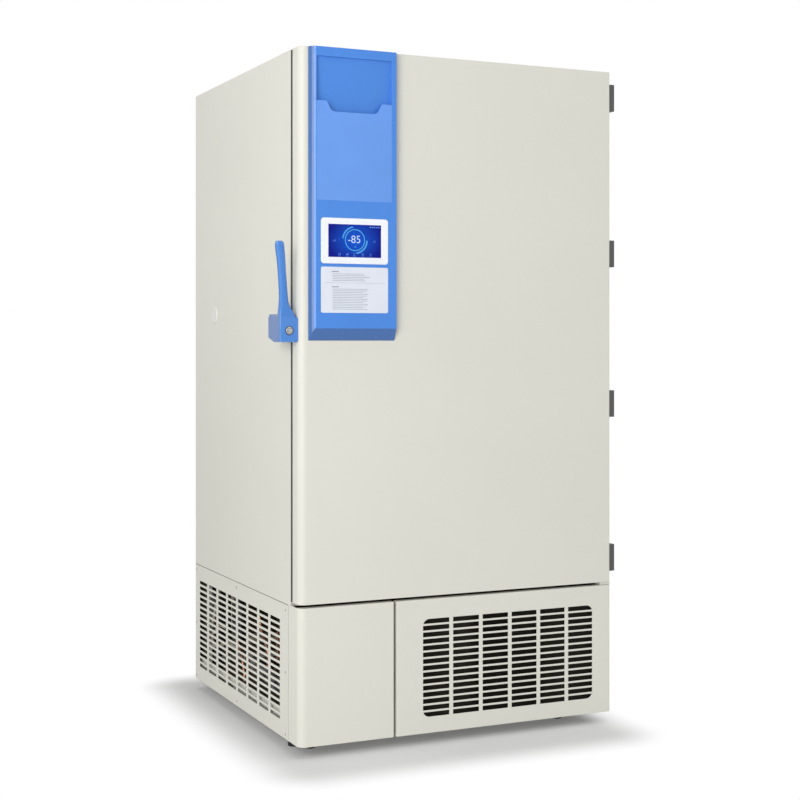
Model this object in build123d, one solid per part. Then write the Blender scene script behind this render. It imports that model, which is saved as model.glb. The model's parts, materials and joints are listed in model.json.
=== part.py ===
from build123d import *
import math
import os

# Upright ultra low temperature freezer. Lengths in millimetres, angles in degrees.
# It is drawn from the cabinet's centre line (X), the outer door's front face (Y, growing to the back)
# and the floor (Z). At the end everything moves so that the origin is under the middle of the whole.

# Cabinet
cabinet_width = 1000
cabinet_top = 1955
cabinet_back = 958
body_bottom = 411
skirt_bottom = 33
sheet = 1.2

# Insulated walls between the cabinet's sheet and the inside
side_wall = 112
floor_wall = 149
roof_wall = 137
back_wall = 134

# Outer door
door_thickness = 52
door_gap = 16
door_sill_gap = 12
door_left_radius = 22
door_right_radius = 8

# Liner and breaker frame
liner_sheet = 1.0
mouth_depth = 36
mouth_rim = 18

# Door liner, which plugs the mouth, and its gasket
plug_clearance = 10
plug_depth = 70
plug_taper = 6
plug_wall = 2
gasket_edge = 12
gasket_width = 44
gasket_foot_share = 0.3
gasket_head_share = 0.35
seal_clearance = 0.3

# Inner doors and shelves
inner_door_count = 4
inner_door_setback = 5
inner_door_thickness = 24
inner_door_gap = 6
inner_door_side_gap = 8
inner_pin_radius = 4
inner_pin_inset = 8
inner_pin_length = 9
pin_end_play = 1
inner_bracket_sheet = 3
running_clearance = 0.05
finger_pull_height = 90
finger_pull_width = 30
finger_pull_depth = 13
shelf_front_gap = 6
shelf_side_gap = 5
shelf_flange = 22
shelf_sheet = 1.5
shelf_slot_columns = 3
shelf_slot_rows = 5
shelf_slot_width_share = 0.6
shelf_slot_depth_share = 0.2
rail_height = 10

# Outer hinges: how far the lowest and highest sit from the door's ends, and all four along that height
hinge_low_inset = 71.6
hinge_high_inset = 76
hinge_shares = (0, 0.335, 0.661, 1)
hinge_height = 80
hinge_leaf_thickness = 12
hinge_cap_thickness = 16
hinge_leaf_length = 46
hinge_barrel_radius = 8
hinge_pin_radius = 4
hinge_pin_head = 6
knuckle_gap = 1
bracket_width = 35
bracket_setback = 4

# Blue panel on the door
panel_inset = 26
panel_width = 259
panel_height = 807
panel_proud = 16
panel_bevel_width = 17
panel_bevel_step = 7
panel_bevel_share = 0.6
panel_chamfer_height = 35
panel_seat_depth = 22
panel_flange = 8
pocket_left_rim = 18.5
pocket_right_rim = 14.8
pocket_top_rim = 26
pocket_height = 395
pocket_mouth_depth = 6
pocket_floor_depth = 32
window_drop = 122
window_notch = 29
window_thickness = 3
window_curve_slope = -1.2
bezel_inset = 31
bezel_width = 201.5
bezel_height = 126
bezel_drop = 48
bezel_proud = 1.6
bezel_radius = 9
screen_side_rim = 21.4
screen_low_rim = 18
screen_high_rim = 17
display_seat_depth = 8
card_gap = 9
card_height = 126.5
card_thickness = 0.8
card_radius = 5

# Lever latch on the door's left side
latch_setback = 12
latch_length = 93
latch_height = 77
latch_drop = 4
latch_reach = 52
latch_base_thickness = 6.2
latch_slit = 0.8
latch_wall = 2.6
latch_corner = 10
latch_cut_length = 45
latch_cut_height = 13
pivot_from_front = 32
pivot_rise = 28
pivot_radius = 7
pivot_clearance = 0.06
lever_bar_width = 24
lever_bar_depth = 20
lever_root_radius = 4
lever_neck_radius = 8
lever_grip_radius = 9
lever_shoulder_rise = 33.6
lever_neck_inset = 22.8
lever_neck_forward = 4
lever_neck_thinning = 6
lever_tip_round = 4.8
lever_rise = 199
lever_lean_out = 24
lever_lean_forward = 31
hook_thickness = 10
hook_back_gap = 4
hook_side_gap = 1
hook_drop = 3
keeper_reach = 31
keeper_inset = 15
keeper_rise = 32
keeper_radius = 6
keeper_sheet = 4
keeper_half_height = 24
lock_inset = 24.4
lock_rise = 31.3
lock_radius = 10.5
lock_proud = 3
key_slot_width = 2
key_slot_length = 10
lock_tail_width = 6
lock_tail_thickness = 3
lock_tail_rise = 4

# Access port through the left wall
port_from_back = 208
port_share = 0.5322
port_cap_radius = 27.5
port_cap_thickness = 4
port_bore_radius = 14
port_clearance = 0.3

# Lower panels and grilles
lower_overlap = 2.5
lower_return = 84
left_panel_width = 284
lower_gap = 9
lower_flange = 24
panel_sheet = 1.5
grille_left_rim = 82
grille_right_rim = 64
grille_low_rim = 46
grille_high_rim = 54
grille_radius = 20
grille_columns = 6
grille_rows = 15
grille_bar = 12
grille_rib = 5.5
side_seam = 3
panel_gap = 0.5
inner_fold_radius = 2
side_front_rim = 70
side_back_rim = 44
side_high_rim = 50
side_columns = 8
side_rows = 16
side_bar = 16.5
side_rib = 7
rear_side_rim = 200
rear_columns = 2
rear_rows = 12
rear_bar = 40
rear_rib = 14

# Grille door hinge and filter
grille_hinge_inset = 10
grille_hinge_setback = 8
grille_pin_radius = 4
grille_swing_gap = 4
grille_tab = 3
grille_tab_reach = 14
tab_gap = 0.6
elbow_gap = 1
filter_margin = 14
filter_thickness = 12

# Base and machinery
base_rise = 45
base_sheet = 3
base_lip = 22
base_inset = 12
base_setback = 8
post_size = 28
condenser_left_rim = 77
condenser_right_rim = 120
condenser_setback = 16
condenser_depth = 56
condenser_height = 268
condenser_fins = 44
fin_depth = 8
fin_groove_share = 0.5
condenser_rows = 5
return_bend_share = 0.6
tube_radius = 5
shroud_depth = 36
fan_radius = 122
fan_tip_gap = 6
fan_hub_radius = 34
fan_blade_count = 5
fan_blade_chord = 50
fan_blade_pitch = 32
fan_blade_sheet = 2.5
fan_depth = 30
fan_arm_count = 4
arm_standoff = 10
arm_size = 6
motor_radius = 40
motor_length = 52
compressor_radius = 92
compressor_height = 236
compressor_foot_length = 236
compressor_foot_width = 165
compressor_1_from_left = 245
compressor_1_from_back = 488
compressor_2_from_left = 490
compressor_2_from_back = 318
compressor_dome_share = 0.6
grommet_height = 12
grommet_radius = 9.6
girdle_step = 3
girdle_height = 14
foot_sheet = 5
terminal_reach = 24
pipe_radius = 6
pipe_bend = 20
pipe_from_left = 70
discharge_rise_gap = 110
discharge_front_gap = 240
discharge_cross = 300
discharge_height = 290
pipe_offset = 45
liquid_from_back = 198
drier_radius = 18
drier_length = 110
receiver_radius = 28
receiver_length = 170
receiver_from_left = 50
receiver_from_back = 88
receiver_stem_radius = 12
receiver_stem_height = 70
suction_radius = 16
suction_bend = 50
suction_1_from_left = 80
suction_1_from_back = 178
suction_2_from_left = 650
suction_2_from_back = 108
control_from_left = 116
control_width = 190
control_setback = 20
control_depth = 110
control_height = 236
inlet_width = 60
inlet_height = 44
inlet_depth = 22
inlet_wall = 4
inlet_inset = 60
inlet_rise = 52
inlet_blades = 3
inlet_blade_sheet = 2
spacer_reach = 45
spacer_low_rise = 289
spacer_high_drop = 175
spacer_side_inset = 170
spacer_radius = 11

# Casters and levelling feet
caster_side_inset = 98
caster_front_inset = 24
caster_back_inset = 88
caster_trail = 25
wheel_radius = 30
wheel_width = 24
wheel_side_gap = 1.5
hub_side_gap = 1.1
axle_radius = 5
fork_sheet = 3
fork_shoulder = 12
stem_radius = 8
stem_nut_radius = 11.2
foot_side_inset = 45
foot_setback = 72
foot_radius = 19
foot_thickness = 11
foot_stem_radius = 6
foot_stem_rise = 40

# Levels and edges worked out from these
half_width = cabinet_width / 2
cabinet_front = door_thickness + door_gap
door_bottom = body_bottom + door_sill_gap
half_inside = half_width - side_wall
interior_bottom = body_bottom + floor_wall
interior_top = cabinet_top - roof_wall
interior_height = interior_top - interior_bottom
interior_back = cabinet_back - back_wall
plug_back = door_thickness + plug_depth
inner_door_front = plug_back + inner_door_setback
base_bottom = skirt_bottom + base_rise
base_top = base_bottom + base_sheet


def block(x0, x1, y0, y1, z0, z1):
    """A box between two corners."""
    middle = Pos((x0 + x1) / 2, (y0 + y1) / 2, (z0 + z1) / 2)
    return middle * Box(x1 - x0, y1 - y0, z1 - z0)


def rod(along, at, radius, start, end):
    """A round bar along one axis; at holds its two other coordinates in order."""
    a, b = at
    seats = {"X": Pos(start, a, b) * Rot(0, 90, 0), "Y": Pos(a, start, b) * Rot(-90, 0, 0),
             "Z": Pos(a, b, start)}
    return seats[along] * Cylinder(radius, end - start, align=(Align.CENTER, Align.CENTER, Align.MIN))


def group(pieces):
    """Separate solids under one name."""
    return Compound([solid for piece in pieces for solid in piece.solids()])


def prism(along, points, start, end):
    """A straight-sided outline given by its corners, drawn across one axis and extruded along it."""
    planes = {"X": Plane.YZ.offset(start), "Y": Plane.XZ.offset(-end), "Z": Plane.XY.offset(start)}
    return extrude(planes[along] * make_face(Polyline(*points, close=True)), end - start)


def plate(x0, x1, z0, z1, radius, y0, y1):
    """An upright plate with rounded corners, facing the front."""
    face = Pos((x0 + x1) / 2, (z0 + z1) / 2) * RectangleRounded(x1 - x0, z1 - z0, radius)
    return extrude(Plane.XZ.offset(-y1) * face, y1 - y0)


def front_slab(left, right, front, back, bottom, top, left_radius, right_radius):
    """An upright slab whose two front edges are rounded."""
    slab = block(left, right, front, back, bottom, top)
    edges = slab.edges().filter_by(Axis.Z).group_by(Axis.Y)[0].sort_by(Axis.X)
    slab = fillet(edges[0], left_radius)
    edges = slab.edges().filter_by(Axis.Z).sort_by(Axis.X)
    right_front = edges.group_by(Axis.X)[-1].sort_by(Axis.Y)[0]
    return fillet(right_front, right_radius)


# Cabinet

def cabinet_shell():
    """Folded sheet walls, roof, floor and back, open at the mouth."""
    shell = block(-half_width, half_width, cabinet_front, cabinet_back, body_bottom, cabinet_top)
    shell -= block(-half_width + sheet, half_width - sheet, cabinet_front + sheet, cabinet_back - sheet,
                   body_bottom + sheet, cabinet_top - sheet)
    shell -= mouth(cabinet_front, cabinet_front + sheet)
    return shell - port_bore(-half_width, -half_width + sheet)


def mouth(front, back):
    """The hole for the breaker frame."""
    edge = half_inside + mouth_rim
    return block(-edge, edge, front, back, interior_bottom - mouth_rim, interior_top + mouth_rim)


port_place = (cabinet_back - port_from_back, interior_bottom + port_share * interior_height)


def port_bore(start, end):
    return rod("X", port_place, port_bore_radius + port_clearance, start, end)


def breaker_frame():
    """The plastic frame that joins the shell to the liner round the mouth."""
    frame = mouth(cabinet_front, cabinet_front + mouth_depth)
    return frame - block(-half_inside, half_inside, cabinet_front, cabinet_front + mouth_depth,
                         interior_bottom, interior_top)


def liner_block(wall):
    return block(-half_inside - wall, half_inside + wall, cabinet_front + mouth_depth, interior_back + wall,
                 interior_bottom - wall, interior_top + wall)


def inner_liner():
    liner = liner_block(liner_sheet) - liner_block(0)
    return liner - port_bore(-half_inside - liner_sheet, -half_inside)


def cabinet_foam():
    foam = block(-half_width + sheet, half_width - sheet, cabinet_front + sheet, cabinet_back - sheet,
                 body_bottom + sheet, cabinet_top - sheet)
    foam -= mouth(cabinet_front + sheet, cabinet_front + mouth_depth)
    foam -= liner_block(liner_sheet)
    return foam - port_bore(-half_width + sheet, -half_inside - liner_sheet)


def port_plug():
    """A stopper with a cap outside; its stem fills the port through the wall."""
    cap = rod("X", port_place, port_cap_radius, -half_width - port_cap_thickness, -half_width)
    cap = chamfer(cap.faces().sort_by(Axis.X)[0].edges(), port_cap_thickness / 2)
    return cap + rod("X", port_place, port_bore_radius, -half_width, -half_inside)


# Shelves and inner doors

cell_height = interior_height / inner_door_count
inner_door_back = inner_door_front + inner_door_thickness
inner_pin_y = inner_door_front + inner_door_thickness / 2
inner_door_edge = half_inside - inner_door_side_gap
inner_pin_x = inner_door_edge - inner_pin_inset
shelf_front = inner_door_back + shelf_front_gap


def shelf_supports():
    """Rails on both side walls, a pair under each shelf."""
    rails = []
    for cell in range(1, inner_door_count):
        top = interior_bottom + cell * cell_height - shelf_flange
        for side in (-1, 1):
            x0, x1 = sorted((side * half_inside, side * (half_inside - shelf_side_gap - shelf_flange)))
            rails.append(block(x0, x1, shelf_front, interior_back, top - rail_height, top))
    return group(rails)


def shelf(cell):
    """A sheet shelf with its edges folded down and slots for the air."""
    top = interior_bottom + cell * cell_height
    left = -half_inside + shelf_side_gap
    back = interior_back - shelf_side_gap
    tray = block(left, -left, shelf_front, back, top - shelf_flange, top)
    tray -= block(left + shelf_sheet, -left - shelf_sheet, shelf_front + shelf_sheet, back - shelf_sheet,
                  top - shelf_flange, top - shelf_sheet)
    pitch_x = -2 * left / shelf_slot_columns
    pitch_y = (back - shelf_front) / shelf_slot_rows
    slot = Box(pitch_x * shelf_slot_width_share, pitch_y * shelf_slot_depth_share, shelf_sheet)
    places = [Pos(left + (column + 0.5) * pitch_x, shelf_front + (row + 0.5) * pitch_y, top - shelf_sheet / 2)
              for column in range(shelf_slot_columns) for row in range(shelf_slot_rows)]
    return tray - [place * slot for place in places]


def cell_bounds(cell):
    """The bottom and top of one inner door."""
    bottom = interior_bottom + cell * cell_height + inner_door_gap / 2
    return bottom, bottom + cell_height - inner_door_gap


def inner_door(cell):
    """A foamed inner door with a raised field, a finger pull and a bore for its pin at each end."""
    bottom, top = cell_bounds(cell)
    left = -inner_door_edge
    panel = block(left, inner_door_edge, inner_door_front, inner_door_back, bottom, top)
    panel = fillet(panel.edges().filter_by(Axis.Z), inner_door_thickness / 6)
    middle = (bottom + top) / 2
    pull_left = left + finger_pull_width
    panel -= plate(pull_left, pull_left + finger_pull_width, middle - finger_pull_height / 2,
                   middle + finger_pull_height / 2, finger_pull_width / 3,
                   inner_door_front, inner_door_front + finger_pull_depth)
    bore = inner_pin_radius + running_clearance
    depth = inner_pin_length + pin_end_play
    panel -= rod("Z", (inner_pin_x, inner_pin_y), bore, bottom, bottom + depth)
    return panel - rod("Z", (inner_pin_x, inner_pin_y), bore, top - depth, top)


def inner_door_brackets():
    """Plates on the liner's right wall, between the inner doors, with the pins that the doors turn on."""
    brackets = []
    for level in range(inner_door_count + 1):
        z = interior_bottom + level * cell_height
        low = max(z - inner_bracket_sheet / 2, interior_bottom)
        high = min(z + inner_bracket_sheet / 2, interior_top)
        arm = block(inner_pin_x - inner_pin_radius * 2, half_inside, inner_door_front, inner_door_back, low, high)
        pin_low = z - inner_pin_length if level > 0 else low
        pin_high = z + inner_pin_length if level < inner_door_count else high
        brackets.append(arm + rod("Z", (inner_pin_x, inner_pin_y), inner_pin_radius, pin_low, pin_high))
    return group(brackets)


# Outer door

panel_left = -half_width + panel_inset
panel_right = panel_left + panel_width
panel_bottom = cabinet_top - panel_height
pocket_left = panel_left + pocket_left_rim
pocket_right = panel_right - pocket_right_rim
pocket_top = cabinet_top - pocket_top_rim
pocket_bottom = pocket_top - pocket_height
window_top = pocket_top - window_drop


def door_block(inset):
    """The outer door's slab, taken in by a wall on every side but the back."""
    return front_slab(-half_width + inset, half_width - inset, inset, door_thickness,
                      door_bottom + inset, cabinet_top - inset,
                      door_left_radius - inset, door_right_radius - inset)


def panel_seat(front, back, margin):
    """The hole in the door for the back of the blue panel."""
    return block(panel_left + panel_flange - margin, panel_right - panel_flange + margin, front, back,
                 panel_bottom + panel_chamfer_height - margin, cabinet_top - panel_flange + margin)


def door_skin():
    skin = door_block(0) - door_block(sheet)
    return skin - panel_seat(0, sheet, 0)


def plug_block(inset):
    """The part of the door that fills the mouth, slightly tapered to the back."""
    half = half_inside - plug_clearance - inset
    low = interior_bottom + plug_clearance + inset
    high = interior_top - plug_clearance - inset
    front = Plane.XZ.offset(-door_thickness) * (Pos(0, (low + high) / 2) * Rectangle(2 * half, high - low))
    back = Plane.XZ.offset(-plug_back + inset) * (
        Pos(0, (low + high) / 2) * Rectangle(2 * (half - plug_taper), high - low - 2 * plug_taper))
    return loft([front.face(), back.face()])


def door_liner():
    """The inner pan: a flat flange on the door's back with a hollow plug standing from it."""
    half = half_width - sheet
    pan = block(-half, half, door_thickness - sheet, door_thickness, door_bottom + sheet, cabinet_top - sheet)
    pan += plug_block(0)
    inside = plug_block(plug_wall)
    return pan - inside - block(-half_inside + plug_clearance + plug_wall,
                                half_inside - plug_clearance - plug_wall,
                                door_thickness - sheet, door_thickness,
                                interior_bottom + plug_clearance + plug_wall,
                                interior_top - plug_clearance - plug_wall)


def door_foam():
    """Insulation that fills the skin and the plug."""
    slab = block(-half_width + sheet, half_width - sheet, sheet, door_thickness - sheet,
                 door_bottom + sheet, cabinet_top - sheet)
    front_edges = slab.edges().filter_by(Axis.Z).group_by(Axis.Y)[0]
    slab = chamfer(front_edges, door_left_radius - sheet)
    half = half_inside - plug_clearance - plug_wall
    slab += block(-half, half, door_thickness - sheet, door_thickness,
                  interior_bottom + plug_clearance + plug_wall, interior_top - plug_clearance - plug_wall)
    return slab + plug_block(plug_wall) - panel_seat(0, panel_seat_depth, 0)


def gasket_ring(inset, width, front, back):
    edge = half_width - gasket_edge - inset
    low = door_bottom + gasket_edge + inset
    high = cabinet_top - gasket_edge - inset
    ring = block(-edge, edge, front, back, low, high)
    return ring - block(-edge + width, edge - width, front, back, low + width, high - width)


def door_gasket():
    """A bellows seal: a foot on the door, a waist and a magnet head that meets the cabinet."""
    foot_back = door_thickness + door_gap * gasket_foot_share
    head_front = cabinet_front - door_gap * gasket_head_share
    waist = gasket_width / 4
    gasket = gasket_ring(0, gasket_width, door_thickness, foot_back)
    gasket += gasket_ring(waist, gasket_width - 2 * waist, foot_back, head_front)
    return gasket + gasket_ring(0, gasket_width, head_front, cabinet_front - seal_clearance)


# Hinges

hinge_axis = (half_width + hinge_cap_thickness - hinge_barrel_radius, door_thickness + door_gap / 2)
leaf_gap = hinge_barrel_radius + 2 * knuckle_gap
hinge_low = door_bottom + hinge_low_inset
hinge_high = cabinet_top - hinge_high_inset
hinge_heights = [hinge_low + share * (hinge_high - hinge_low) for share in hinge_shares]
lower_top = body_bottom + lower_overlap


def knuckle(bottom, top, web_front, web_back, web_right):
    """One knuckle with the web that joins it to its leaf, bored for the pin."""
    piece = rod("Z", hinge_axis, hinge_barrel_radius, bottom, top)
    piece += block(half_width, web_right, web_front, web_back, bottom, top)
    return piece - rod("Z", hinge_axis, hinge_pin_radius + running_clearance, bottom, top)


def hinge_door_leaf(height):
    """The leaf on the door's side, thicker to the front, with the middle knuckle."""
    x, y = hinge_axis
    back = y - leaf_gap
    front = back - hinge_leaf_length
    outline = [(half_width, front), (half_width + hinge_cap_thickness, front),
               (half_width + hinge_cap_thickness, front + hinge_leaf_length / 2),
               (half_width + hinge_leaf_thickness, back), (half_width, back)]
    leaf = prism("Z", outline, height - hinge_height / 2, height + hinge_height / 2)
    reach = hinge_height / 6 - knuckle_gap / 2
    return leaf + knuckle(height - reach, height + reach, back, y, x)


def hinge_cabinet_leaf(height):
    """The leaf on the cabinet's side with the upper and lower knuckles."""
    x, y = hinge_axis
    front = y + leaf_gap
    leaf = block(half_width, half_width + hinge_leaf_thickness, front, front + hinge_leaf_length,
                 height - hinge_height / 2, height + hinge_height / 2)
    for side in (-1, 1):
        near = height + side * (hinge_height / 6 + knuckle_gap / 2)
        far = height + side * hinge_height / 2
        low, high = sorted((near, far))
        leaf += knuckle(low, high, y, front, half_width + hinge_leaf_thickness)
    return leaf


def hinge_pin(height):
    x, y = hinge_axis
    top = height + hinge_height / 2
    pin = rod("Z", hinge_axis, hinge_pin_radius, height - hinge_height / 2, top)
    return pin + rod("Z", hinge_axis, hinge_pin_head, top, top + hinge_pin_radius)


def hinge_bracket():
    """The bracket under the door's hinge corner, fixed to the cabinet's front edge."""
    return block(half_width - bracket_width, half_width, bracket_setback, cabinet_front,
                 lower_top + knuckle_gap, door_bottom - knuckle_gap)


# Blue panel

bezel_top = pocket_bottom - bezel_drop
bezel_bottom = bezel_top - bezel_height
bezel_left = panel_left + bezel_inset
bezel_right = bezel_left + bezel_width
screen_left = bezel_left + screen_side_rim
screen_right = bezel_right - screen_side_rim
screen_bottom = bezel_bottom + screen_low_rim
screen_top = bezel_top - screen_high_rim
card_top = bezel_bottom - card_gap
card_bottom = card_top - card_height


def door_panel():
    """The moulded panel: bevelled left edge and foot, a document pocket and a seat for the display."""
    profile = [(panel_left, 0), (panel_left + panel_bevel_step, -panel_proud * panel_bevel_share),
               (panel_left + panel_bevel_width, -panel_proud), (panel_right, -panel_proud), (panel_right, 0)]
    panel = prism("Z", profile, panel_bottom, cabinet_top)
    foot = [(0, panel_bottom), (-panel_proud, panel_bottom), (-panel_proud, panel_bottom + panel_chamfer_height)]
    panel -= prism("X", foot, panel_left, panel_right)
    panel += panel_seat(0, panel_seat_depth, -seal_clearance)
    slope = [(-panel_proud, pocket_bottom), (pocket_floor_depth - panel_proud, pocket_bottom),
             (pocket_mouth_depth - panel_proud, pocket_top), (-panel_proud, pocket_top)]
    panel -= prism("X", slope, pocket_left, pocket_right)
    return panel - plate(bezel_left, bezel_right, bezel_bottom, bezel_top, bezel_radius,
                         -panel_proud, -panel_proud + display_seat_depth)


def pocket_window():
    """The clear front plate of the pocket, cut away along its top edge."""
    cut = window_top - window_notch
    left, right = pocket_left, pocket_right
    edges = [Polyline((left + window_notch, window_top), (left, window_top), (left, pocket_bottom),
                      (right, pocket_bottom), (right, window_top), (right - window_notch, window_top)),
             Line((left + window_notch * 2, cut), (right - window_notch * 2, cut))]
    for edge, sense in ((left, 1), (right, -1)):
        edges.append(Spline((edge + sense * window_notch, window_top), (edge + sense * window_notch * 2, cut),
                            tangents=((sense, window_curve_slope), (sense, 0))))
    face = make_face(edges)
    return extrude(Plane.XZ.offset(panel_proud - window_thickness) * face, window_thickness)


def display_bezel():
    front = -panel_proud - bezel_proud
    bezel = plate(bezel_left, bezel_right, bezel_bottom, bezel_top, bezel_radius,
                  front, -panel_proud + display_seat_depth)
    bezel = chamfer(bezel.faces().sort_by(Axis.Y)[0].edges(), bezel_proud / 2)
    return bezel - block(screen_left, screen_right, front, front + bezel_proud * 2, screen_bottom, screen_top)


def display_screen():
    front = -panel_proud - bezel_proud / 2
    return block(screen_left, screen_right, front, -panel_proud + bezel_proud, screen_bottom, screen_top)


def info_card():
    return plate(bezel_left, bezel_right, card_bottom, card_top, card_radius,
                 -panel_proud - card_thickness, -panel_proud)


# Lever latch

latch_front = latch_setback
latch_back = latch_front + latch_length
latch_bottom = panel_bottom - latch_drop
latch_top = latch_bottom + latch_height
latch_outer = -half_width - latch_reach
lever_pivot = (latch_front + pivot_from_front, latch_bottom + pivot_rise)
keeper_place = (cabinet_front + keeper_inset, latch_bottom + keeper_rise)
lock_place = (-half_width - lock_inset, latch_bottom + lock_rise)
lever_top = latch_top + lever_rise
pivot_y, pivot_z = lever_pivot
base_outer = -half_width - latch_base_thickness
lever_inner = base_outer - latch_slit
boss_end = latch_outer + latch_wall + latch_slit
hook_outer = boss_end + hook_side_gap


def latch_base():
    """The fixed base on the door's side, with the boss that the lever turns on."""
    top = latch_top - latch_corner
    outline = [(latch_front, latch_bottom), (door_thickness, latch_bottom), (door_thickness, top),
               (latch_front, top)]
    base = prism("X", outline, base_outer, -half_width)
    base = fillet(base.edges().filter_by(Axis.X), latch_base_thickness / 2)
    return base + rod("X", lever_pivot, pivot_radius, boss_end, base_outer)


def lever_section(height, left, right, front, back, radius):
    """One cross-section of the lever's bar."""
    face = RectangleRounded(right - left, back - front, radius)
    return Plane.XY.offset(height) * (Pos((left + right) / 2, (front + back) / 2) * face)


def lever_bar():
    """The grip: it rises from the housing's front, narrows and leans outwards and forwards."""
    shoulder = latch_top + lever_shoulder_rise
    inner_edge = lever_inner - lever_neck_inset
    root_back = latch_front + lever_bar_depth
    root = lever_section(latch_top - latch_corner, latch_outer, lever_inner, latch_front, root_back,
                         lever_root_radius)
    neck = lever_section(shoulder, inner_edge - lever_bar_width, inner_edge, latch_front - lever_neck_forward,
                         root_back - lever_neck_thinning, lever_neck_radius)
    grip = []
    for share in (0.5, 0.96, 1):
        inset = lever_tip_round if share == 1 else 0
        left = inner_edge - lever_bar_width - lever_lean_out * share
        front = latch_front - lever_lean_forward * share
        grip.append(lever_section(shoulder + (lever_top - shoulder) * share, left + inset,
                                  left + lever_bar_width - inset, front + inset,
                                  front + lever_bar_depth - inset, lever_grip_radius - inset))
    lower = loft([root.face(), neck.face()])
    upper = loft([neck.face(), grip[0].face(), grip[1].face()])
    return lower + upper + loft([grip[1].face(), grip[2].face()])


def latch_lever():
    """A hollow housing, open behind, below and towards the cabinet, with the grip on top."""
    outline = [(latch_front, latch_bottom), (latch_back - latch_cut_length, latch_bottom),
               (latch_back, latch_bottom + latch_cut_height), (latch_back, latch_top - latch_corner),
               (latch_back - latch_corner, latch_top), (latch_front, latch_top)]
    housing = prism("X", outline, latch_outer, lever_inner)
    hollow = [(latch_front + latch_wall * 2, latch_bottom - 1), (latch_back + 1, latch_bottom - 1),
              (latch_back + 1, latch_top - latch_corner - latch_wall),
              (latch_back - latch_corner - latch_wall, latch_top - latch_wall),
              (latch_front + latch_wall * 2, latch_top - latch_wall)]
    housing -= prism("X", hollow, latch_outer + latch_wall, lever_inner)
    front_corner = housing.edges().filter_by(Axis.Z).group_by(Axis.X)[0].sort_by(Axis.Y)[0]
    housing = fillet(front_corner, latch_wall)
    flare = [(lever_inner, latch_top - latch_corner), (lever_inner, latch_top + 1),
             (lever_inner - latch_corner, latch_top + 1)]
    housing -= prism("Y", flare, latch_front - 1, latch_front + latch_wall * 2)
    lever = housing + lever_bar()
    return lever - rod("Y", lock_place, lock_radius + running_clearance, latch_front - 1,
                       latch_front + latch_wall * 3)


def latch_hook():
    """The steel plate in the housing: a bored hub and an arm that drops behind the keeper."""
    keeper_y, keeper_z = keeper_place
    front = latch_front + latch_wall * 2
    hook_back = latch_back - hook_back_gap
    hub = pivot_radius * 2
    throat_top = keeper_z + keeper_radius + hook_drop
    throat_back = keeper_y + keeper_radius + hook_drop
    nose_low = keeper_z - keeper_radius
    outline = [(front, pivot_z + hub * 2), (front, pivot_z + hub / 2), (pivot_y - hub / 2, pivot_z - hub),
               (pivot_y + hub / 2, pivot_z - hub), (keeper_y - keeper_radius - hook_drop, throat_top),
               (throat_back, throat_top), (throat_back, nose_low), (hook_back - hook_drop, nose_low),
               (hook_back, keeper_z), (hook_back, throat_top + hub), (pivot_y, pivot_z + hub * 3)]
    hook = prism("X", outline, hook_outer, hook_outer + hook_thickness)
    return hook - rod("X", lever_pivot, pivot_radius + pivot_clearance, hook_outer,
                      hook_outer + hook_thickness)


def latch_keeper():
    """A roller on a plate that is screwed to the cabinet's side; its end stops beside the hook."""
    keeper_y, keeper_z = keeper_place
    base = block(-half_width - keeper_sheet, -half_width, cabinet_front + keeper_sheet,
                 keeper_y + keeper_half_height, keeper_z - keeper_half_height, keeper_z + keeper_half_height)
    base = fillet(base.edges().filter_by(Axis.X), keeper_sheet)
    roller = rod("X", keeper_place, keeper_radius, -half_width - keeper_reach, -half_width - keeper_sheet)
    return base + roller


def lock_barrel():
    """The round key lock in the lever's front, with a flat tail behind."""
    front = latch_front - lock_proud
    back = latch_front + latch_wall * 3
    barrel = rod("Y", lock_place, lock_radius, front, back)
    barrel = chamfer(barrel.faces().sort_by(Axis.Y)[0].edges(), lock_proud / 3)
    x, z = lock_place
    barrel -= block(x - key_slot_length / 2, x + key_slot_length / 2, front, front + key_slot_width,
                    z - key_slot_width / 2, z + key_slot_width / 2)
    return barrel + block(x - lock_tail_width / 2, x + lock_tail_width / 2, back, back + lock_tail_thickness,
                          z - lock_radius + lock_proud / 2, z + lock_tail_rise)


# Lower panels and grilles

lower_left_split = -half_width + left_panel_width
lower_right_split = lower_left_split + lower_gap
grille_left = lower_right_split + grille_left_rim
grille_right = half_width - grille_right_rim
grille_bottom = skirt_bottom + grille_low_rim
grille_top = body_bottom - grille_high_rim
side_field_front = lower_return + side_front_rim
side_field_back = cabinet_back - side_back_rim
side_field_top = body_bottom - side_high_rim


def slot_field(along, x0, x1, z0, z1, columns, rows, bar, rib, start, end):
    """The holes of a grille: columns of level slots between bars and ribs."""
    width = (x1 - x0 - bar * (columns - 1)) / columns
    height = (z1 - z0 - rib * (rows - 1)) / rows
    holes = []
    for column in range(columns):
        left = x0 + column * (width + bar)
        for row in range(rows):
            low = z0 + row * (height + rib)
            if along == "Y":
                holes.append(block(left, left + width, start, end, low, low + height))
            else:
                holes.append(block(start, end, left, left + width, low, low + height))
    return holes


def lower_panel(left, right, left_radius, right_radius):
    """A lower front cover: a sheet folded back at its sides, with short flanges above and below."""
    cover = front_slab(left, right, 0, lower_return, skirt_bottom, lower_top, left_radius, right_radius)
    cover -= front_slab(left + panel_sheet, right - panel_sheet, panel_sheet, lower_return + 1,
                        skirt_bottom + panel_sheet, lower_top - panel_sheet,
                        left_radius - panel_sheet, right_radius - panel_sheet)
    for low in (skirt_bottom, lower_top - panel_sheet):
        cover -= block(left + panel_sheet, right - panel_sheet, lower_flange, lower_return, low,
                       low + panel_sheet)
    return cover - block(left, right, cabinet_front - panel_gap, lower_return, body_bottom - panel_gap,
                         lower_top)


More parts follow.
